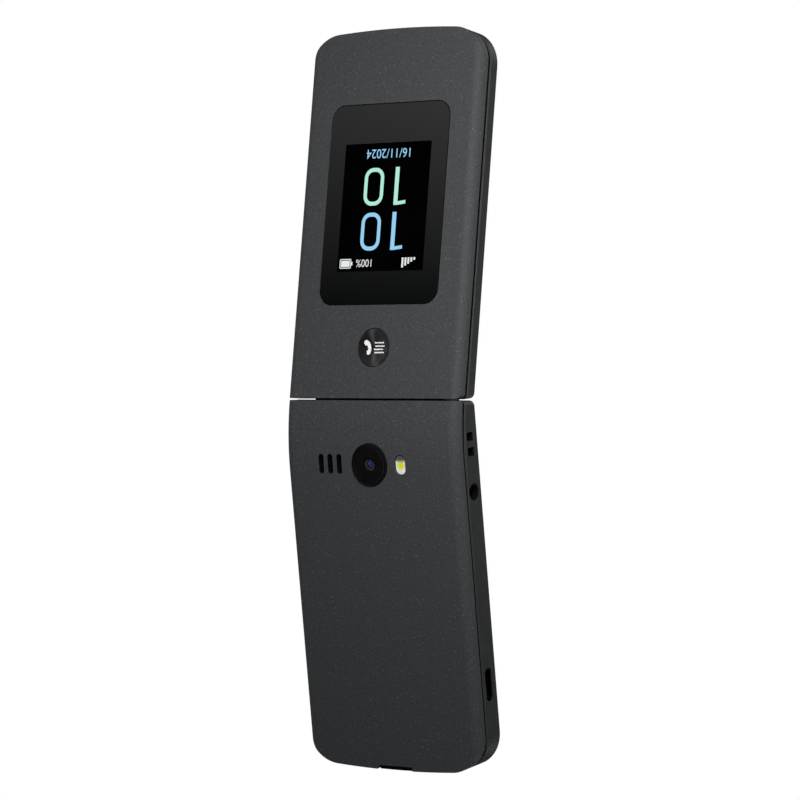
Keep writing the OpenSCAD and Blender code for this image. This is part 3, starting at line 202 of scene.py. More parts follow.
def surface(name, dark, light, patch, rough, grain, relief, metallic=0.0, specular=0.5):
    """A finish that drifts between two shades over patches, with a grain in its gloss and relief.
    The sizes of patch and grain are in metres, and relief is the grain's depth."""
    finish = bpy.data.materials.new(name)
    finish.use_nodes = True
    nodes, links = finish.node_tree.nodes, finish.node_tree.links
    shader = nodes["Principled BSDF"]
    shader.inputs["Metallic"].default_value = metallic
    shader.inputs["Specular IOR Level"].default_value = specular
    place = nodes.new("ShaderNodeTexCoord")
    drift = nodes.new("ShaderNodeTexNoise")
    drift.name = "drift"
    drift.inputs["Scale"].default_value = 1.0 / patch
    drift.inputs["Detail"].default_value = 4.0
    links.new(place.outputs["Object"], drift.inputs["Vector"])
    shades = nodes.new("ShaderNodeValToRGB")
    shades.name = "shades"
    shades.color_ramp.elements[0].position, shades.color_ramp.elements[0].color = 0.35, dark
    shades.color_ramp.elements[1].position, shades.color_ramp.elements[1].color = 0.65, light
    links.new(drift.outputs["Fac"], shades.inputs["Fac"])
    links.new(shades.outputs["Color"], shader.inputs["Base Color"])
    fine = nodes.new("ShaderNodeTexNoise")
    fine.name = "fine"
    fine.inputs["Scale"].default_value = 1.0 / grain
    fine.inputs["Detail"].default_value = 2.0
    links.new(place.outputs["Object"], fine.inputs["Vector"])
    gloss = nodes.new("ShaderNodeMapRange")
    gloss.inputs["To Min"].default_value = rough * 0.9
    gloss.inputs["To Max"].default_value = min(1.0, rough * 1.1)
    links.new(fine.outputs["Fac"], gloss.inputs["Value"])
    links.new(gloss.outputs["Result"], shader.inputs["Roughness"])
    bump = nodes.new("ShaderNodeBump")
    bump.inputs["Strength"].default_value = 0.5
    bump.inputs["Distance"].default_value = relief
    links.new(fine.outputs["Fac"], bump.inputs["Height"])
    links.new(bump.outputs["Normal"], shader.inputs["Normal"])
    return finish


def add_flecks(finish, colour, pitch, share):
    """Strews small light specks: one to a cell of the pitch, in the given share of the cells."""
    nodes, links = finish.node_tree.nodes, finish.node_tree.links
    place = nodes["Texture Coordinate"]
    cells = nodes.new("ShaderNodeTexVoronoi")
    cells.inputs["Scale"].default_value = 1.0 / pitch
    links.new(place.outputs["Object"], cells.inputs["Vector"])
    near = nodes.new("ShaderNodeMapRange")
    near.inputs["From Min"].default_value = 0.26
    near.inputs["From Max"].default_value = 0.12
    links.new(cells.outputs["Distance"], near.inputs["Value"])
    chance = nodes.new("ShaderNodeMapRange")
    chance.inputs["From Min"].default_value = 1.0 - share
    links.new(cells.outputs["Color"], chance.inputs["Value"])
    both = nodes.new("ShaderNodeMath")
    both.operation = "MULTIPLY"
    links.new(near.outputs["Result"], both.inputs[0])
    links.new(chance.outputs["Result"], both.inputs[1])
    mix = nodes.new("ShaderNodeMix")
    mix.data_type = "RGBA"
    mix.inputs[7].default_value = colour
    links.new(both.outputs[0], mix.inputs[0])
    links.new(nodes["shades"].outputs["Color"], mix.inputs[6])
    links.new(mix.outputs[2], nodes["Principled BSDF"].inputs["Base Color"])


def adjust(finish, inputs):
    """Sets more of the inputs of a finish's shader, by their names."""
    for name, value in inputs.items():
        finish.node_tree.nodes["Principled BSDF"].inputs[name].default_value = value


def copy_of(node):
    """A merged copy of a CAD node's mesh to work on."""
    form = bmesh.new()
    form.from_mesh(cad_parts[node].data)
    bmesh.ops.remove_doubles(form, verts=form.verts, dist=2e-7)
    bmesh.ops.dissolve_limit(form, angle_limit=0.002, verts=form.verts, edges=form.edges)
    return form


def piece(form, name, body, finish, stands_for=(), crease=28.0):
    """Makes an object of a worked form: smooth up to the crease angle, riding on its body."""
    for face in form.faces:
        face.smooth = True
    for edge in form.edges:
        edge.smooth = len(edge.link_faces) == 2 and edge.calc_face_angle(9) < math.radians(crease)
    mesh = bpy.data.meshes.new(name)
    form.to_mesh(mesh)
    form.free()
    if "custom_normal" in mesh.attributes:
        mesh.attributes.remove(mesh.attributes["custom_normal"])
    for one in finish if isinstance(finish, (list, tuple)) else [finish]:
        mesh.materials.append(one)
    shown = bpy.data.objects.new(name, mesh)
    bpy.context.scene.collection.objects.link(shown)
    even = shown.modifiers.new("even_shading", "WEIGHTED_NORMAL")
    even.keep_sharp = True
    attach(shown, body)
    if stands_for:
        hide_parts(*stands_for)
    return shown


# The seam runs at an even depth below the outer face, and so it rises with the body's curved back.
lid_back, body_back = -7.6 * mm, -10.1 * mm
curve_start, curve_r = 18.24 * mm, 73.37 * mm
half_middle = Vector((0.0, 50 * mm))
# The walls that close in the hinge's pieces reach this far across a half and along it. The step
# in the rim beside them lies in the narrow strips between the cuts.
hinge_wall_x, hinge_wall_u = 22.1 * mm, 4 * mm
step_cuts = (-22.2 * mm, -22 * mm, 22 * mm, 22.2 * mm)


def seam_height(u, back, depth):
    """Height of a line that keeps the given depth below a half's outer face."""
    if back == body_back and u < curve_start:
        return back + curve_r - math.sqrt((curve_r - depth) ** 2 - (curve_start - u) ** 2)
    return back + depth


def faces_out(face, away):
    """Whether a face belongs to a half's outside wall, given the way from the half's middle."""
    return face.normal.xy.dot(away) > 0 and abs(face.normal.z) < 0.6


def outline_edges(form, level):
    """The sharp edges round the outside of a half that lie at a level, which may vary along it."""
    found = []
    for edge in form.edges:
        if len(edge.link_faces) != 2 or edge.calc_face_angle(0) < math.radians(35):
            continue
        off = max(abs(v.co.z - level(v.co.y)) for v in edge.verts)
        away = (edge.verts[0].co + edge.verts[1].co).xy / 2 - half_middle
        outward = any(faces_out(f, away) for f in edge.link_faces)
        at_hinge = all(abs(v.co.x) < 24 * mm and v.co.y < 6 * mm for v in edge.verts)
        if off < 0.03 * mm and outward and edge.is_convex and not at_hinge:
            found.append(edge)
    return found


def ease(form, edges, width, steps, clamp=True):
    """Rounds or, in one step, slopes the edges off."""
    bmesh.ops.bevel(form, geom=edges, offset=width, offset_type="OFFSET", affect="EDGES",
                    segments=steps, profile=0.5, material=-1, clamp_overlap=clamp)


def edges_at(form, level, sharp=None):
    """The edges at a level, or only those whose faces meet at more than the sharp angle."""
    return [e for e in form.edges if all(abs(v.co.z - level) < 2e-6 for v in e.verts)
            and (sharp is None or e.calc_face_angle(0) > sharp)]


def seam_rim(form, back, depth, at_hinge, further_on, slope):
    """Moves the rim of a half deeper, and slopes its outer edge off.
    The depth runs from one value at the hinge to the other further on, and the walls that close in
    the hinge's pieces stay as they are. The rim's faces are painted black, a painted shade in the
    open seam, and the slopes that face outward are painted lighter, a painted highlight."""
    def old_level(u):
        return seam_height(u, back, depth)

    def new_level(u):
        share = min(1.0, max(0.0, u / curve_start))
        return old_level(u) + at_hinge + (further_on - at_hinge) * share

    for cut in step_cuts:
        bmesh.ops.bisect_plane(form, geom=form.verts[:] + form.edges[:] + form.faces[:], dist=1e-7,
                               plane_co=(cut, 0, 0), plane_no=(1, 0, 0))
    rim = [v for v in form.verts if abs(v.co.z - old_level(v.co.y)) < 0.03 * mm
           and (abs(v.co.x) > hinge_wall_x or v.co.y > hinge_wall_u)]
    joined = {}
    for vert in form.verts:
        if vert in rim or (abs(vert.co.x) < 27.2 * mm and vert.co.y < hinge_wall_u):
            continue
        away = vert.co.xy - half_middle
        outer = any(faces_out(f, away) for f in vert.link_faces)
        if outer and old_level(vert.co.y) < vert.co.z < new_level(vert.co.y) + 0.05 * mm:
            nearest = min(rim, key=lambda r: (r.co.xy - vert.co.xy).length)
            if (nearest.co.xy - vert.co.xy).length < 0.8 * mm:
                joined[vert] = nearest
    for vert in rim:
        vert.co.z = new_level(vert.co.y)
    bmesh.ops.weld_verts(form, targetmap=joined)
    bmesh.ops.remove_doubles(form, verts=form.verts, dist=0.01 * mm)
    bmesh.ops.dissolve_degenerate(form, edges=form.edges, dist=1e-6)
    rim = [v for v in form.verts if abs(v.co.z - new_level(v.co.y)) < 0.02 * mm]
    on_rim = set(rim)
    beside = [e for e in form.edges if e.verts[0] in on_rim or e.verts[1] in on_rim]
    bmesh.ops.dissolve_limit(form, angle_limit=math.radians(0.6), use_dissolve_boundaries=False,
                             verts=rim, edges=beside, delimit=set())
    form.normal_update()
    # The rim's faces take the black finish, a painted shade in the open seam.
    for face in form.faces:
        at_rim = all(abs(v.co.z - new_level(v.co.y)) < 1e-5 for v in face.verts)
        face.material_index = 1 if at_rim else 0
    ease(form, outline_edges(form, new_level), slope, 1, clamp=False)
    form.normal_update()
    # The outward slopes take the lighter finish, a painted highlight.
    for face in form.faces:
        reach = max(v.co.z - new_level(v.co.y) for v in face.verts)
        if 0.3 < -face.normal.z < 0.95 and 0 <= reach < 1.2 * slope:
            face.material_index = 2


def dark_end(form, width):
    """Slopes off the edge of a cover that faces the gap at the hinge, and paints the slope black, a
    painted shade in the gap.
    """
    end = min(v.co.y for v in form.verts)
    edges = [e for e in form.edges if all(v.co.y < end + 0.02 * mm for v in e.verts)
             and any(f.normal.z < -0.7 for f in e.link_faces) and e.calc_face_angle(0) > 0.7]
    ease(form, edges, width, 1)
    form.normal_update()
    for face in form.faces:
        sloped = face.normal.y < -0.4 and -0.9 < face.normal.z < -0.4
        if sloped and face.calc_center_median().y < end + width:
            face.material_index = 1


body_flip = Matrix.Scale(-1.0, 4, (0, 1, 0))


def half_copy(node, place):
    """A merged copy of a node's mesh in its half's own plane, where y runs away from the hinge."""
    form = copy_of(node)
    form.transform(place.inverted())
    if place == body_place:
        form.transform(body_flip)
        bmesh.ops.reverse_faces(form, faces=form.faces)
    form.normal_update()
    return form


def back_in_place(form, place):
    """Turns a form made in a half's own plane back to where the half is."""
    if place == body_place:
        form.transform(body_flip)
        bmesh.ops.reverse_faces(form, faces=form.faces)
    form.transform(place)
    return form


cover_paint = surface("charcoal_paint", rgb(54, 56, 57), rgb(61, 63, 65), 0.6 * mm, 0.58,
                      0.22 * mm, 0.006 * mm, specular=0.06)
add_flecks(cover_paint, rgb(112, 116, 120), 0.62 * mm, 0.5)
# A near-black matte finish: the own black of the headphone socket and loudspeaker, and painted
# shade in the seams, slot walls and hollows.
black_and_painted_shade = surface("black_and_painted_shade", rgb(4, 4, 4), rgb(8, 8, 8), 1 * mm, 0.8, 0.3 * mm, 0.002 * mm,
                     specular=0.05)
lid_skin = half_copy("lid_cover", lid_place)
seam_rim(lid_skin, lid_back, 2.55 * mm, 0.9 * mm, 0.9 * mm, 0.3 * mm)
dark_end(lid_skin, 0.22 * mm)
piece(back_in_place(lid_skin, lid_place), "lid_cover_painted", "lid", [cover_paint, black_and_painted_shade],
      ["lid_cover"])

# ---- Outer window and display ----
# A hard-coated acrylic window is glued into the lid cover. Its back is printed black round an
# opening, and the small display behind the opening shows the time. The print is painted lighter
# towards the lid's far end, a painted reflection.
window_x, window_u, window_corner = 39.2 / 2 * mm, 54.8 / 2 * mm, 4.3 * mm
window_mid, window_face, window_back = 51.9 * mm, -7.6 * mm, -6.9 * mm
window_slope = 0.22 * mm


def blank(half_x, half_y, corner, steps):
    """A flat rectangle, with its corners rounded where a radius is given."""
    form = bmesh.new()
    bmesh.ops.create_grid(form, x_segments=1, y_segments=1, size=1.0)
    bmesh.ops.scale(form, verts=form.verts, vec=(half_x, half_y, 1.0))
    if corner > 0:
        bmesh.ops.bevel(form, geom=form.verts[:], offset=corner, offset_type="OFFSET",
                        affect="VERTICES", segments=steps, profile=0.5, material=-1)
    return form


def raised(form, height):
    """Gives a flat form a thickness, upwards."""
    rise = bmesh.ops.extrude_face_region(form, geom=form.faces[:])
    top = [v for v in rise["geom"] if isinstance(v, bmesh.types.BMVert)]
    bmesh.ops.translate(form, verts=top, vec=(0, 0, height))
    bmesh.ops.recalc_face_normals(form, faces=form.faces)
    return form


def rounded_plate(half_x, half_y, corner, low, high, mid=(0.0, 0.0), steps=8):
    """A flat plate with round corners, between the heights low and high."""
    form = blank(half_x, half_y, corner, steps)
    bmesh.ops.translate(form, verts=form.verts, vec=(mid[0], mid[1], low))
    return raised(form, high - low)


black_print_painted_reflection = surface("black_print_painted_reflection", rgb(8, 9, 9), rgb(40, 40, 41), 9 * mm, 0.08, 2 * mm,
                      0.0002 * mm, specular=0.15)
nodes, links = black_print_painted_reflection.node_tree.nodes, black_print_painted_reflection.node_tree.links
# The print's colour runs from dark by the hinge to lighter at the far end: a painted reflection.
along = nodes.new("ShaderNodeSeparateXYZ")
links.new(nodes["Texture Coordinate"].outputs["Object"], along.inputs[0])
fade = nodes.new("ShaderNodeMapRange")
fade.inputs["From Min"].default_value = 26 * mm
fade.inputs["From Max"].default_value = 80 * mm
fade.inputs["To Min"].default_value = 0.35
fade.inputs["To Max"].default_value = 0.65
links.new(along.outputs["Y"], fade.inputs["Value"])
links.new(fade.outputs["Result"], nodes["shades"].inputs["Fac"])
display_glass = surface("display_glass", rgb(0, 0, 0), rgb(2, 2, 2), 9 * mm, 0.06, 2 * mm,
                        0.0002 * mm, specular=0.1)

window = rounded_plate(window_x, window_u, window_corner, window_face, window_back, (0, window_mid))
ease(window, edges_at(window, window_face), window_slope, 1, clamp=False)
window.normal_update()
for face in window.faces:
    face.material_index = 0 if abs(face.normal.z) > 0.9 else 1
window.transform(lid_place)
piece(window, "outer_window_glass", "lid", [black_print_painted_reflection, black_and_painted_shade],
      ["outer_window"])

# The window is opaque here, so the picture is a thin plate that lies in its face.
lit = rounded_plate(14.17 * mm, 17.43 * mm, 0.0, window_face - 0.004 * mm, window_face + 0.02 * mm,
                    (0, 51.02 * mm))
lit.transform(lid_place)
piece(lit, "outer_picture", "lid", display_glass)


def glowing(name, colour, level):
    """Light that a display gives off, a little uneven from one dot to the next."""
    finish = bpy.data.materials.new(name)
    finish.use_nodes = True
    nodes, links = finish.node_tree.nodes, finish.node_tree.links
    shader = nodes["Principled BSDF"]
    adjust(finish, {"Base Color": (0, 0, 0, 1), "Roughness": 0.3, "Specular IOR Level": 0.1,
                    "Emission Strength": level})
    place = nodes.new("ShaderNodeTexCoord")
    dots = nodes.new("ShaderNodeTexNoise")
    dots.inputs["Scale"].default_value = 1.0 / (0.4 * mm)
    links.new(place.outputs["Object"], dots.inputs["Vector"])
    tone = nodes.new("ShaderNodeValToRGB")
    tone.color_ramp.elements[0].color = tuple(0.9 * c for c in colour[:3]) + (1,)
    tone.color_ramp.elements[1].color = colour
    links.new(dots.outputs["Fac"], tone.inputs["Fac"])
    links.new(tone.outputs["Color"], shader.inputs["Emission Color"])
    return finish


mint_light = glowing("mint_light", rgb(181, 240, 218), 1.0)
blue_light = glowing("blue_light", rgb(152, 212, 248), 1.0)
pale_light = glowing("pale_light", rgb(235, 238, 240), 1.0)

# The picture is upright when the closed phone is held with its hinge up, so it is drawn in a plane
# whose up is towards the hinge.
picture_place = lid_place @ Matrix.Rotation(math.pi, 4, "X")
picture_low, picture_high = 7.6 * mm + 0.003 * mm, 7.6 * mm + 0.012 * mm


def ring_plate(half_x, half_y, corner, stroke, low, high, mid, steps=10):
    """A round-cornered hoop of even stroke, such as a zero or a battery's outline."""
    form = blank(half_x, half_y, corner, steps)
    bmesh.ops.inset_individual(form, faces=form.faces[:], thickness=stroke, use_even_offset=True)
    middle = max(form.faces, key=lambda face: len(face.verts))
    bmesh.ops.delete(form, geom=[middle], context="FACES")
    bmesh.ops.translate(form, verts=form.verts, vec=(mid[0], mid[1], low))
    return raised(form, high - low)


def outline_plate(points, low, high):
    """A flat plate cut to a few straight lines, between the heights low and high."""
    form = bmesh.new()
    corners = [form.verts.new((x, y, low)) for x, y in points]
    form.faces.new(corners)
    return raised(form, high - low)


def join(forms):
    """One form of several."""
    whole = bmesh.new()
    for form in forms:
        part = bpy.data.meshes.new("part")
        form.to_mesh(part)
        form.free()
        whole.from_mesh(part)
        bpy.data.meshes.remove(part)
    return whole


def lettering(text, size, low, high, mid, face=None, stretch=1.0):
    """Plain figures of the given height, centred on a point, as a plate."""
    curve = bpy.data.curves.new("figures", "FONT")
    curve.body = text
    curve.align_x = "CENTER"
    curve.align_y = "CENTER"
    holder = bpy.data.objects.new("figures", curve)
    bpy.context.scene.collection.objects.link(holder)
    bpy.context.view_layer.update()
    flat = bpy.data.meshes.new_from_object(holder.evaluated_get(
        bpy.context.evaluated_depsgraph_get()))
    bpy.data.objects.remove(holder)
    bpy.data.curves.remove(curve)
    form = bmesh.new()
    form.from_mesh(flat)
    bpy.data.meshes.remove(flat)
    bmesh.ops.remove_doubles(form, verts=form.verts, dist=1e-5)
    bmesh.ops.dissolve_limit(form, angle_limit=0.01, verts=form.verts, edges=form.edges)
    xs = [v.co.x for v in form.verts]
    ys = [v.co.y for v in form.verts]
    scale = size / (max(ys) - min(ys))
    centre = Vector(((max(xs) + min(xs)) / 2, (max(ys) + min(ys)) / 2, 0))
    bmesh.ops.translate(form, verts=form.verts, vec=-centre)
    bmesh.ops.scale(form, verts=form.verts, vec=(scale * stretch, scale, 1))
    bmesh.ops.translate(form, verts=form.verts, vec=(mid[0], mid[1], low))
    return raised(form, high - low)


def on_picture(u):
    """Height on the picture of a point at the distance u from the hinge."""
    return -u * mm


def ten(near_u, far_u):
    """The figures 1 and 0 between two distances from the hinge."""
    high_y, low_y = on_picture(near_u), on_picture(far_u)
    one = [(-3.0, high_y / mm), (-4.2, high_y / mm), (-6.9, high_y / mm - 0.3),
           (-6.9, high_y / mm - 1.25), (-4.3, high_y / mm - 0.95), (-4.3, low_y / mm),
           (-3.0, low_y / mm)]
    stem = outline_plate([(x * mm, y * mm) for x, y in one], picture_low, picture_high)
    zero = ring_plate(3.22 * mm, (high_y - low_y) / 2, 2.8 * mm, 1.08 * mm, picture_low,
                      picture_high, (3.86 * mm, (high_y + low_y) / 2))
    return join([stem, zero])


date = lettering("16/11/2024", 2.5 * mm, picture_low, picture_high, (-0.2 * mm, on_picture(65.5)),
                 stretch=0.93)
battery_mid = (11.5 * mm, on_picture(35.75))
signs = [ring_plate(1.9 * mm, 1.3 * mm, 0.4 * mm, 0.25 * mm, picture_low, picture_high,
                    battery_mid),
         rounded_plate(1.45 * mm, 0.85 * mm, 0.15 * mm, picture_low, picture_high, battery_mid,
                       steps=3),
         rounded_plate(0.25 * mm, 0.5 * mm, 0.1 * mm, picture_low, picture_high,
                       (9.4 * mm, on_picture(35.75)), steps=3),
         lettering("100%", 2.05 * mm, picture_low, picture_high, (5.4 * mm, on_picture(35.8)),
                   stretch=0.9)]
for step, tall in enumerate((0.7, 1.2, 1.7, 2.2, 2.7)):
    signs.append(rounded_plate(0.3 * mm, tall / 2 * mm, 0.05 * mm, picture_low, picture_high,
                               ((-11.2 + step * 0.95) * mm, on_picture(37.1 - tall / 2)), steps=2))
for form, name, light in ((ten(51.4, 61.7), "hours_figures", mint_light),
                          (ten(39.2, 49.5), "minutes_figures", blue_light),
                          (date, "date_figures", blue_light),
                          (join(signs), "status_row", pale_light)):
    form.transform(picture_place)
    piece(form, name, "lid", light)

panel_black = surface("panel_black", rgb(8, 8, 9), rgb(12, 12, 13), 8 * mm, 0.25, 1 * mm,
                      0.001 * mm)


def give(node, finish):
    """Puts a finish on a CAD node that keeps its own shape."""
    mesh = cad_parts[node].data
    if not mesh.materials:
        mesh.materials.append(finish)
    for index in range(len(mesh.materials)):
        mesh.materials[index] = finish


give("outer_display", panel_black)

# ---- Quick key ----
# A round key of black turned aluminium, dished like a saucer, with a printed handset and list. It
# presses through the lid cover onto a switch of the lid board.
key_mid_u, key_face_w, dish_deep, dish_r = 12.95 * mm, -7.6 * mm, 0.3 * mm, 4.37 * mm
key_r, key_back_w, key_flange_r, key_stem_r = 5.17 * mm, -6.55 * mm, 5.57 * mm, 1.2 * mm
turned_black = surface("turned_black", rgb(74, 74, 76), rgb(86, 86, 88), 2 * mm, 0.31, 0.15 * mm,
                       0.001 * mm, metallic=1.0)
adjust(turned_black, {"Anisotropic": 0.85})
turning = turned_black.node_tree.nodes.new("ShaderNodeTangent")
turning.direction_type = "UV_MAP"
turning.uv_map = "turned"
turned_black.node_tree.links.new(
    turning.outputs[0], turned_black.node_tree.nodes["Principled BSDF"].inputs["Tangent"])


def spun(profile, mid, steps=72, turned=False):
    """A solid of revolution about a line square to the plane, from (radius, height) points.
    The turned kind carries a map that runs round it, for the way its metal was cut."""
    form = bmesh.new()
    line = [form.verts.new((r, 0.0, w)) for r, w in profile]
    edges = [form.edges.new(pair) for pair in zip(line, line[1:])]
    bmesh.ops.spin(form, geom=line + edges, cent=(0, 0, 0), axis=(0, 0, 1), dvec=(0, 0, 0),
                   angle=math.tau, steps=steps, use_merge=True)
    bmesh.ops.remove_doubles(form, verts=form.verts, dist=1e-7)
    bmesh.ops.recalc_face_normals(form, faces=form.faces)
    if turned:
        lay = form.loops.layers.uv.new("turned")
        for face in form.faces:
            middle = face.calc_center_median()
            about = math.atan2(middle.y, middle.x)
            for loop in face.loops:
                spot = loop.vert.co
                swing = math.atan2(spot.y, spot.x) - about if spot.xy.length > 1e-6 else 0.0
                swing = (swing + math.pi) % math.tau - math.pi
                loop[lay].uv = ((about + swing) / math.tau, spot.xy.length * 100)
    bmesh.ops.translate(form, verts=form.verts, vec=(mid[0], mid[1], 0))
    return form


quick_form = spun(
    [(0.0, key_face_w + dish_deep), (0.05 * mm, key_face_w + dish_deep),
     (4.1 * mm, key_face_w + 0.03 * mm), (dish_r, key_face_w), (key_r - 0.08 * mm, key_face_w),
     (key_r, key_face_w + 0.08 * mm), (key_r, key_back_w), (key_flange_r, key_back_w),
     (key_flange_r, key_back_w + 0.3 * mm), (key_stem_r, key_back_w + 0.3 * mm),
     (key_stem_r, key_back_w + 0.6 * mm), (0.0, key_back_w + 0.6 * mm)],
    (0, key_mid_u), steps=96, turned=True)
quick_form.transform(lid_place)
piece(quick_form, "quick_key_turned", "quick_key", turned_black, ["quick_key"])

print_white = surface("print_white", rgb(205, 206, 208), rgb(225, 226, 228), 0.5 * mm, 0.5,
                      0.1 * mm, 0.001 * mm)
marks = []
for row, (left, right) in enumerate(((-3.3, -0.1), (-3.55, -0.35), (-3.15, 0.1), (-3.45, -0.25))):
    middle = (1.28 - row * 0.88) * mm
    marks.append(rounded_plate((right - left) / 2 * mm, 0.17 * mm, 0.15 * mm, 0.0, 0.05 * mm,
                               ((right + left) / 2 * mm, middle), steps=3))
handset = [(3.25, 1.6), (2.95, 2.0), (2.35, 2.05), (1.55, 1.45), (1.05, 0.6), (0.9, -0.3),
           (1.05, -1.3), (1.4, -1.9), (1.95, -1.95), (2.3, -1.5), (2.25, -0.85), (1.85, -0.5),
           (1.95, 0.1), (2.25, 0.55), (2.85, 0.65), (3.2, 1.05)]
marks.append(outline_plate([(x * mm, y * mm) for x, y in handset], 0.0, 0.05 * mm))
icon = join(marks)
bmesh.ops.triangulate(icon, faces=[f for f in icon.faces if len(f.verts) > 4])
bmesh.ops.subdivide_edges(icon, edges=[e for e in icon.edges if e.calc_length() > 0.8 * mm], cuts=2)
for vert in icon.verts:
    off = min(1.0, vert.co.xy.length / dish_r)
    vert.co.z = key_face_w + dish_deep * (1 - off) - 0.03 * mm + vert.co.z
    vert.co.y += key_mid_u
bmesh.ops.recalc_face_normals(icon, faces=icon.faces)
icon.transform(lid_place)
piece(icon, "quick_key_icon", "quick_key", print_white)

# ---- Lid's inner half ----
# The inner shell of the lid carries the side band and the frame round the main window, in a darker
# satin plastic. Its edge at the seam is cut off at a small slope, which catches the light and is
# painted lighter than the band, a painted highlight.
band_plastic = surface("band_plastic", rgb(39, 41, 41), rgb(43, 45, 45), 3 * mm, 0.42, 0.15 * mm,
                       0.003 * mm, specular=0.05)
# A lighter copy of the band's plastic for the slopes at the seam: a painted highlight.
painted_highlight_edge = surface("painted_highlight_edge", rgb(45, 47, 47), rgb(49, 51, 51), 3 * mm, 0.4, 0.15 * mm,
                        0.001 * mm, specular=0.08)
lid_inner = half_copy("lid_bezel", lid_place)
seam_rim(lid_inner, lid_back, 2.75 * mm, 1.55 * mm, 1.55 * mm, 0.3 * mm)
ease(lid_inner, outline_edges(lid_inner, lambda u: -0.2 * mm), 0.6 * mm, 3)
piece(back_in_place(lid_inner, lid_place), "lid_bezel_satin", "lid",
      [band_plastic, black_and_painted_shade, painted_highlight_edge], ["lid_bezel"])

# ---- Main window and display ----
# The large window over the main display is printed black round its opening, as the outer one is.
# It is opaque here too, and the picture lies in its face.
inner_black = surface("inner_black", rgb(10, 10, 11), rgb(14, 14, 15), 9 * mm, 0.07, 2 * mm,
                      0.0002 * mm, specular=0.4)
pane_mid, pane_low, pane_high = 52.4 * mm, -0.95 * mm, -0.25 * mm
pane = rounded_plate(25.8 * mm, 39.2 * mm, 2.0 * mm, pane_low, pane_high, (0, pane_mid))
ease(pane, edges_at(pane, pane_high), 0.12 * mm, 2)
pane.transform(lid_place)
piece(pane, "main_window_glass", "lid", inner_black, ["main_window"])

# The main display shows a plain evening blue with the time, a bar of signs above and two key marks.
evening = glowing("evening_blue", rgb(40, 92, 150), 0.9)
nodes, links = evening.node_tree.nodes, evening.node_tree.links
evening_up = nodes.new("ShaderNodeTexCoord")
rise_of = nodes.new("ShaderNodeSeparateXYZ")
links.new(evening_up.outputs["Object"], rise_of.inputs[0])
sky = nodes.new("ShaderNodeMapRange")
sky.inputs["From Min"].default_value = 18 * mm
sky.inputs["From Max"].default_value = 84 * mm
links.new(rise_of.outputs["Y"], sky.inputs["Value"])
hues = nodes.new("ShaderNodeValToRGB")
hues.color_ramp.elements[0].color = rgb(18, 40, 66)
hues.color_ramp.elements[1].color = rgb(64, 128, 168)
hues.color_ramp.elements.new(0.55).color = rgb(34, 78, 122)
links.new(sky.outputs["Result"], hues.inputs["Fac"])
links.new(hues.outputs["Color"], nodes["Principled BSDF"].inputs["Emission Color"])
adjust(evening, {"Roughness": 0.07, "Specular IOR Level": 0.4})
screen_low, screen_high = pane_high - 0.02 * mm, pane_high + 0.004 * mm
screen = rounded_plate(24.8 * mm, 33.0 * mm, 0.0, screen_low, screen_high, (0, pane_mid))
screen.transform(lid_place)
piece(screen, "main_picture", "lid", evening)
mark_low, mark_high = screen_high - 0.003 * mm, screen_high + 0.006 * mm
full_mid, mark_u = (20.8 * mm, 82.6 * mm), 22.2 * mm
clock = join([
    lettering("10:10", 9.5 * mm, mark_low, mark_high, (0, 64 * mm), stretch=0.9),
    lettering("16/11/24", 3.0 * mm, mark_low, mark_high, (0, 55.5 * mm), stretch=0.95),
    ring_plate(2.0 * mm, 1.1 * mm, 0.35 * mm, 0.28 * mm, mark_low, mark_high, full_mid),
    rounded_plate(1.5 * mm, 0.65 * mm, 0.1 * mm, mark_low, mark_high, full_mid, steps=2),
    *(rounded_plate(2.2 * mm, 0.28 * mm, 0.25 * mm, mark_low, mark_high, (x, mark_u), steps=3)
      for x in (-17.1 * mm, 17.1 * mm)),
    ring_plate(1.5 * mm, 1.5 * mm, 1.45 * mm, 0.3 * mm, mark_low, mark_high, (0, mark_u))]
    + [rounded_plate(0.3 * mm, (0.4 + 0.25 * step) * mm, 0.05 * mm, mark_low, mark_high,
                     ((-22.6 + 0.95 * step) * mm, (81.4 + 0.4 + 0.25 * step) * mm), steps=2)
       for step in range(5)])
clock.transform(lid_place)
piece(clock, "main_figures", "lid", pale_light)
give("main_display", panel_black)

# ---- Other pieces of the lid ----
# The stiffening plate is pressed steel and the board is glass fibre. The earpiece and the magnet
# lie in the inner half, and rubber bumpers cover the screws.
steel = surface("steel", rgb(150, 150, 152), rgb(175, 175, 178), 3 * mm, 0.32, 0.3 * mm, 0.002 * mm,
                metallic=1.0)
green_board = surface("green_board", rgb(20, 62, 44), rgb(26, 74, 52), 2 * mm, 0.4, 0.3 * mm,
                      0.004 * mm)
black_rubber = surface("black_rubber", rgb(24, 24, 25), rgb(32, 32, 33), 1 * mm, 0.75, 0.12 * mm,
                       0.01 * mm, specular=0.2)
amber_film = surface("amber_film", rgb(150, 88, 26), rgb(176, 108, 38), 2 * mm, 0.35, 0.3 * mm,
                     0.002 * mm)
black_mesh = surface("black_mesh", rgb(16, 16, 17), rgb(26, 26, 27), 0.4 * mm, 0.6, 0.2 * mm,
                     0.01 * mm)
for inner, finish in (("lid_plate", steel), ("lid_board", green_board), ("earpiece", black_mesh),
                      ("lid_magnet", steel), ("lid_screws", steel), ("lid_bumpers", black_rubber),
                      ("lid_flex", amber_film)):
    give(inner, finish)

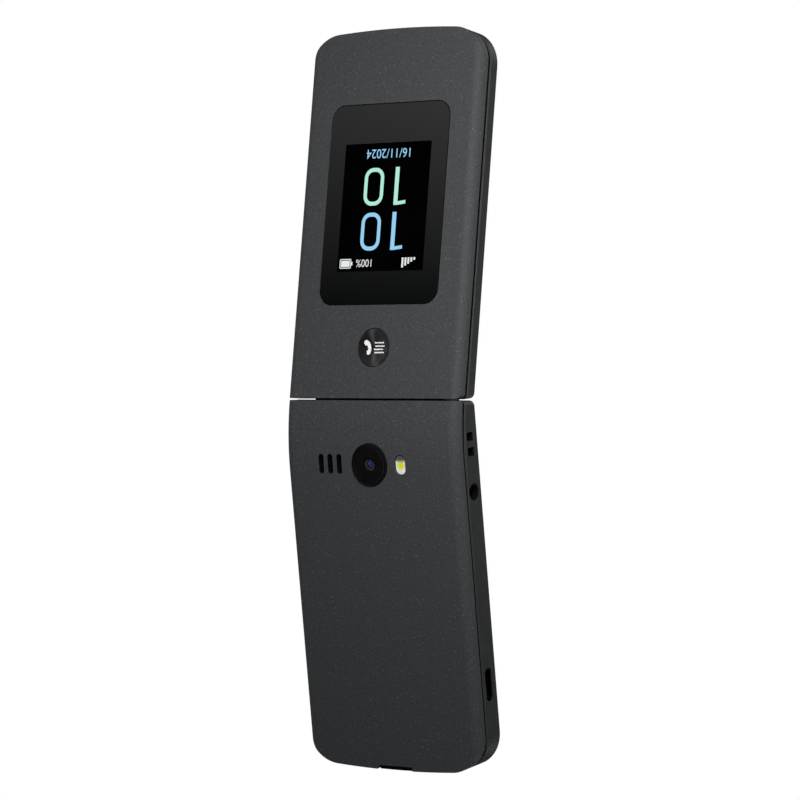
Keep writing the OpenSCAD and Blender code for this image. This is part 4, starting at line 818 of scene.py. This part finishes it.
# ---- Hinge ----
# A bracket with two ears sits in the body, and the lid's barrel turns between them. Inside are the
# steel cam, follower and spring of the lid's catch, and a sleeve that carries the flex.
hinge_plastic = surface("hinge_plastic", rgb(34, 35, 36), rgb(42, 43, 44), 2 * mm, 0.4, 0.15 * mm,
                        0.003 * mm, specular=0.35)
for node, body in (("hinge_barrel", "lid"), ("hinge_bracket", "body")):
    piece(copy_of(node), node + "_satin", body, hinge_plastic, [node])
for inner in ("hinge_can", "hinge_follower", "hinge_spring", "hinge_cam_shaft", "hinge_sleeve"):
    give(inner, steel)
give("body_flex", amber_film)

# ---- Back cover ----
# The back cover is moulded and painted as the lid cover is, and snaps over the battery. It has
# slots for the loudspeaker, holes for the camera and the flash, and a notch for a fingernail.
back_skin = half_copy("back_cover", body_place)
seam_rim(back_skin, body_back, 2.7 * mm, 0.0, 0.65 * mm, 0.3 * mm)
dark_end(back_skin, 0.22 * mm)


def between(length, low, high):
    """Whether a length lies between two others, which are given in millimetres."""
    return low * mm < length < high * mm


# The walls of the sound slots are painted black, a painted shade in the slots.
for face in back_skin.faces:
    spot = face.calc_center_median()
    in_slots = between(spot.x, 9.2, 17.1) and between(spot.y, 13.4, 19.0)
    if in_slots and abs(face.normal.z) < 0.5 and spot.z < -9.0 * mm:
        face.material_index = 1
piece(back_in_place(back_skin, body_place), "back_cover_painted", "body", [cover_paint, black_and_painted_shade],
      ["back_cover"])

# ---- Camera and flash ----
# The camera looks through a glass disc in a black turned ring. The flash is a moulded milky lens in
# a recess, over a yellow lamp.
gloss_black = surface("gloss_black", rgb(10, 10, 11), rgb(14, 14, 15), 2 * mm, 0.12, 0.3 * mm,
                      0.0005 * mm, specular=0.35)
camera_mid = (0.0, 16.2 * mm)
ring = half_copy("camera_ring", body_place)
front = min(v.co.z for v in ring.verts)
ease(ring, edges_at(ring, front, 0.5), 0.12 * mm, 2)
piece(back_in_place(ring, body_place), "camera_ring_turned", "body", gloss_black,
      ["camera_ring"])

# The disc is printed black on its back, but for the middle, and the lens barrel stands behind that.
clear_glass = surface("clear_glass", rgb(0, 0, 0), rgb(3, 3, 3), 4 * mm, 0.03, 1 * mm,
                      0.00005 * mm)
adjust(clear_glass, {"Alpha": 0.06})
glass_r, sight_r, glass_face, glass_back = 4.88 * mm, 1.95 * mm, -10.55 * mm, -9.95 * mm
disc = spun([(sight_r, glass_face), (glass_r - 0.1 * mm, glass_face),
             (glass_r, glass_face + 0.1 * mm), (glass_r, glass_back), (sight_r, glass_back),
             (sight_r, glass_face)], camera_mid)
piece(back_in_place(disc, body_place), "camera_disc", "body", gloss_black,
      ["camera_glass"])
clear_r = sight_r - 0.005 * mm
sight = spun([(0.0, glass_face), (clear_r, glass_face), (clear_r, glass_back), (0.0, glass_back)],
             camera_mid)
piece(back_in_place(sight, body_place), "camera_sight", "body", clear_glass)

barrel_bronze = surface("barrel_bronze", rgb(38, 34, 32), rgb(56, 49, 45), 1 * mm, 0.5, 0.1 * mm,
                        0.0002 * mm, specular=0.2)
lens_blue = surface("lens_blue", rgb(14, 30, 88), rgb(44, 84, 180), 1.6 * mm, 0.05, 1 * mm,
                    0.0001 * mm)
adjust(lens_blue, {"Coat Weight": 1.0, "Coat Roughness": 0.02})
barrel_face, lens_r, bezel_r = -9.85 * mm, 0.95 * mm, 1.78 * mm
bezel = spun([(lens_r, barrel_face - 0.01 * mm), (lens_r, barrel_face - 0.03 * mm),
              (1.3 * mm, barrel_face - 0.05 * mm), (1.6 * mm, barrel_face - 0.085 * mm),
              (bezel_r, barrel_face - 0.06 * mm), (bezel_r, barrel_face - 0.01 * mm),
              (lens_r, barrel_face - 0.01 * mm)], camera_mid)
piece(back_in_place(bezel, body_place), "lens_bezel", "body", barrel_bronze)
dome_foot, dome_rise, arc_steps = barrel_face + 0.42 * mm, 0.38 * mm, 16
lens_back = barrel_face + 0.48 * mm
dome = [(lens_r * math.sin(a / arc_steps * math.pi / 2),
         dome_foot - dome_rise * math.cos(a / arc_steps * math.pi / 2))
        for a in range(arc_steps + 1)]
front_lens = spun(dome + [(lens_r, lens_back), (0.0, lens_back)], camera_mid)
piece(back_in_place(front_lens, body_place), "front_lens", "body", lens_blue)
give("camera_module", gloss_black)

# The flash lens is milky, with its yellow lamp showing through the middle, and its end by the
# hinge is painted dark, a painted shade from the recess.
flash_milk = surface("flash_milk", rgb(214, 217, 210), rgb(236, 238, 232), 1 * mm, 0.25, 0.3 * mm,
                     0.003 * mm)
nodes, links = flash_milk.node_tree.nodes, flash_milk.node_tree.links
centred = nodes.new("ShaderNodeMapping")
lamp_reach, lamp_mid = 1.7 * mm, (-9.9 * mm, -15.6 * mm, 0.9 * mm)
centred.inputs["Location"].default_value = tuple(-part / lamp_reach for part in lamp_mid)
centred.inputs["Scale"].default_value = (1 / lamp_reach,) * 3
links.new(nodes["Texture Coordinate"].outputs["Object"], centred.inputs["Vector"])
round_spot = nodes.new("ShaderNodeTexGradient")
round_spot.gradient_type = "SPHERICAL"
links.new(centred.outputs["Vector"], round_spot.inputs["Vector"])
spot_edge = nodes.new("ShaderNodeValToRGB")
spot_edge.color_ramp.elements[0].position, spot_edge.color_ramp.elements[1].position = 0.05, 0.6
links.new(round_spot.outputs["Fac"], spot_edge.inputs["Fac"])
yellow = nodes.new("ShaderNodeMix")
yellow.data_type = "RGBA"
yellow.inputs[7].default_value = rgb(214, 214, 40)
links.new(spot_edge.outputs["Color"], yellow.inputs[0])
links.new(nodes["shades"].outputs["Color"], yellow.inputs[6])
# Towards the hinge the lens turns dark brown: a painted shade.
flash_along = nodes.new("ShaderNodeSeparateXYZ")
links.new(nodes["Texture Coordinate"].outputs["Object"], flash_along.inputs[0])
shadowed = nodes.new("ShaderNodeMapRange")
shadowed.interpolation_type = "SMOOTHSTEP"
shadowed.inputs["From Min"].default_value = -15.2 * mm
shadowed.inputs["From Max"].default_value = -14.0 * mm
shadowed.inputs["To Max"].default_value = 0.93
links.new(flash_along.outputs["Y"], shadowed.inputs["Value"])
flash_painted_shade = nodes.new("ShaderNodeMix")
flash_painted_shade.data_type = "RGBA"
flash_painted_shade.inputs[7].default_value = rgb(44, 40, 34)
links.new(shadowed.outputs["Result"], flash_painted_shade.inputs[0])
links.new(yellow.outputs[2], flash_painted_shade.inputs[6])
links.new(flash_painted_shade.outputs[2], nodes["Principled BSDF"].inputs["Base Color"])
give("flash_lens", flash_milk)
give("loudspeaker", black_and_painted_shade)

# ---- Body's inner half ----
# The keypad shell holds everything in the body. It is one moulding with the side band, in the same
# satin plastic as the lid's inner half.
body_inner = half_copy("keypad_shell", body_place)
# As on the lid, the rim in the seam is painted black, a painted shade, and the slope beside it
# lighter, a painted highlight.
seam_rim(body_inner, body_back, 2.9 * mm, 0.65 * mm, 1.05 * mm, 0.35 * mm)
ease(body_inner, outline_edges(body_inner, lambda u: -0.2 * mm), 0.7 * mm, 3)
# The walls behind the lanyard holes and the ledge behind the fingernail notch are painted black, a
# painted shade in these hollows.
for face in body_inner.faces:
    spot = face.calc_center_median()
    in_tunnel = (between(spot.x, -28.45, -24.3) and between(spot.y, 7.9, 14.9)
                 and between(spot.z, -5.01, -2.1))
    on_ledge = abs(spot.x) < 6 * mm and spot.y > 98 * mm and spot.z < -7.3 * mm
    if on_ledge or in_tunnel:
        face.material_index = 1
piece(back_in_place(body_inner, body_place), "keypad_shell_satin", "body",
      [band_plastic, black_and_painted_shade, painted_highlight_edge], ["keypad_shell"])
give("headphone_socket", black_and_painted_shade)
dark_steel = surface("dark_steel", rgb(46, 46, 48), rgb(60, 60, 62), 1.5 * mm, 0.3, 0.3 * mm,
                     0.001 * mm, metallic=1.0)
give("usb_socket", dark_steel)

# ---- Keys ----
# The key caps are hard plastic and moulded one by one. They are printed white, but for the green
# and red handsets of the call and end keys.
key_plastic = surface("key_plastic", rgb(44, 46, 48), rgb(52, 54, 56), 2 * mm, 0.42, 0.2 * mm,
                      0.004 * mm, specular=0.35)
nav_plastic = surface("nav_plastic", rgb(70, 72, 75), rgb(82, 84, 87), 1.2 * mm, 0.3, 0.15 * mm,
                      0.002 * mm, metallic=0.7)
call_green = surface("call_green", rgb(60, 190, 100), rgb(70, 205, 110), 1 * mm, 0.5, 0.1 * mm,
                     0.001 * mm)
end_red = surface("end_red", rgb(205, 50, 44), rgb(220, 60, 52), 1 * mm, 0.5, 0.1 * mm, 0.001 * mm)
key_top = -0.08 * mm
print_low, print_high = key_top - 0.02 * mm, key_top + 0.012 * mm
key_round, nav_round = 0.3 * mm, 0.35 * mm


def key_cap(node, finish, width):
    """A key cap with its top edge rounded."""
    form = half_copy(node, body_place)
    top = max(v.co.z for v in form.verts)
    ease(form, edges_at(form, top, 0.6), width, 3)
    piece(back_in_place(form, body_place), node + "_cap", node, finish, [node])


def printed(form, name, node, finish):
    """A print on a key, drawn in the plane of the keypad."""
    form.transform(body_place)
    piece(form, name, node, finish)


def key_spot(node):
    """The middle of a key in the keypad's own plane."""
    low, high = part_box(node)
    return (low.x + high.x) / 2, (low.y + high.y) / 2 - hinge_line.y


figures = {f"key_{n}": str(n) for n in range(10)}
figures.update(key_star="*", key_hash="#")
for node, figure in figures.items():
    key_cap(node, key_plastic, key_round)
    tall = {"*": 2.0, "#": 2.9}.get(figure, 3.6) * mm
    printed(lettering(figure, tall, print_low, print_high, key_spot(node)), node + "_figure", node,
            print_white)


def handset_sign(mid, lying):
    """A telephone handset, lying for the end key and raised for the call key."""
    arc = [(-2.3, -0.5), (-2.2, 0.25), (-1.3, 0.85), (0.0, 1.05), (1.3, 0.85), (2.2, 0.25),
           (2.3, -0.5), (1.15, -0.8), (1.0, 0.0), (0.0, 0.2), (-1.0, 0.0), (-1.15, -0.8)]
    form = outline_plate([(x * mm, y * mm) for x, y in arc], print_low, print_high)
    if not lying:
        form.transform(Matrix.Rotation(math.radians(135), 4, "Z"))
    bmesh.ops.translate(form, verts=form.verts, vec=(mid[0], mid[1], 0))
    return form


for node in ("soft_key_left", "soft_key_right", "call_key", "end_key", "clear_key"):
    key_cap(node, key_plastic, key_round)
    mid = key_spot(node)
    if node == "call_key":
        printed(handset_sign(mid, False), "call_key_sign", node, call_green)
    elif node == "end_key":
        printed(handset_sign(mid, True), "end_key_sign", node, end_red)
    elif node == "clear_key":
        arrow = [(-1.9, 0), (-0.7, 1.0), (-0.7, 0.25), (1.9, 0.25), (1.9, -0.25), (-0.7, -0.25),
                 (-0.7, -1.0)]
        printed(outline_plate([(mid[0] + x * mm, mid[1] + y * mm) for x, y in arrow], print_low,
                              print_high), "clear_key_sign", node, print_white)
    else:
        printed(rounded_plate(1.8 * mm, 0.26 * mm, 0.24 * mm, print_low, print_high, mid, steps=3),
                node + "_sign", node, print_white)

# The navigation ring lies round a plain centre key, and its marks are printed on it.
key_cap("nav_ring", nav_plastic, nav_round)
key_cap("centre_key", nav_plastic, nav_round)
nav_mid = (0.0, -25.4 * mm)
for name, turn_by in (("up", 0), ("left", 90), ("down", 180), ("right", 270)):
    mark = outline_plate([(-0.9 * mm, 6.7 * mm), (0.9 * mm, 6.7 * mm), (0.0, 7.7 * mm)], print_low,
                         print_high)
    swing = Matrix.Rotation(math.radians(turn_by), 4, "Z")
    mark.transform(Matrix.Translation((*nav_mid, 0)) @ swing)
    printed(mark, "nav_mark_" + name, "nav_ring", print_white)
piece(copy_of("volume_key"), "volume_key_cap", "volume_key", key_plastic, ["volume_key"])

# ---- Inside the body ----
# The chassis, the battery, the board and the small parts fill the body. They keep their own shapes,
# since they show only in gaps.
frame_plastic = surface("frame_plastic", rgb(40, 40, 42), rgb(52, 52, 54), 4 * mm, 0.55, 0.2 * mm,
                        0.004 * mm)
silver_wrap = surface("silver_wrap", rgb(176, 178, 182), rgb(192, 194, 198), 6 * mm, 0.35, 0.4 * mm,
                      0.003 * mm, metallic=0.3)
for inner, finish in (("chassis", frame_plastic), ("battery", silver_wrap),
                      ("main_board", green_board), ("dome_sheet", steel), ("key_mat", black_rubber),
                      ("sim_holder", steel), ("vibration_motor", steel),
                      ("volume_switch", frame_plastic), ("body_screws", steel)):
    give(inner, finish)
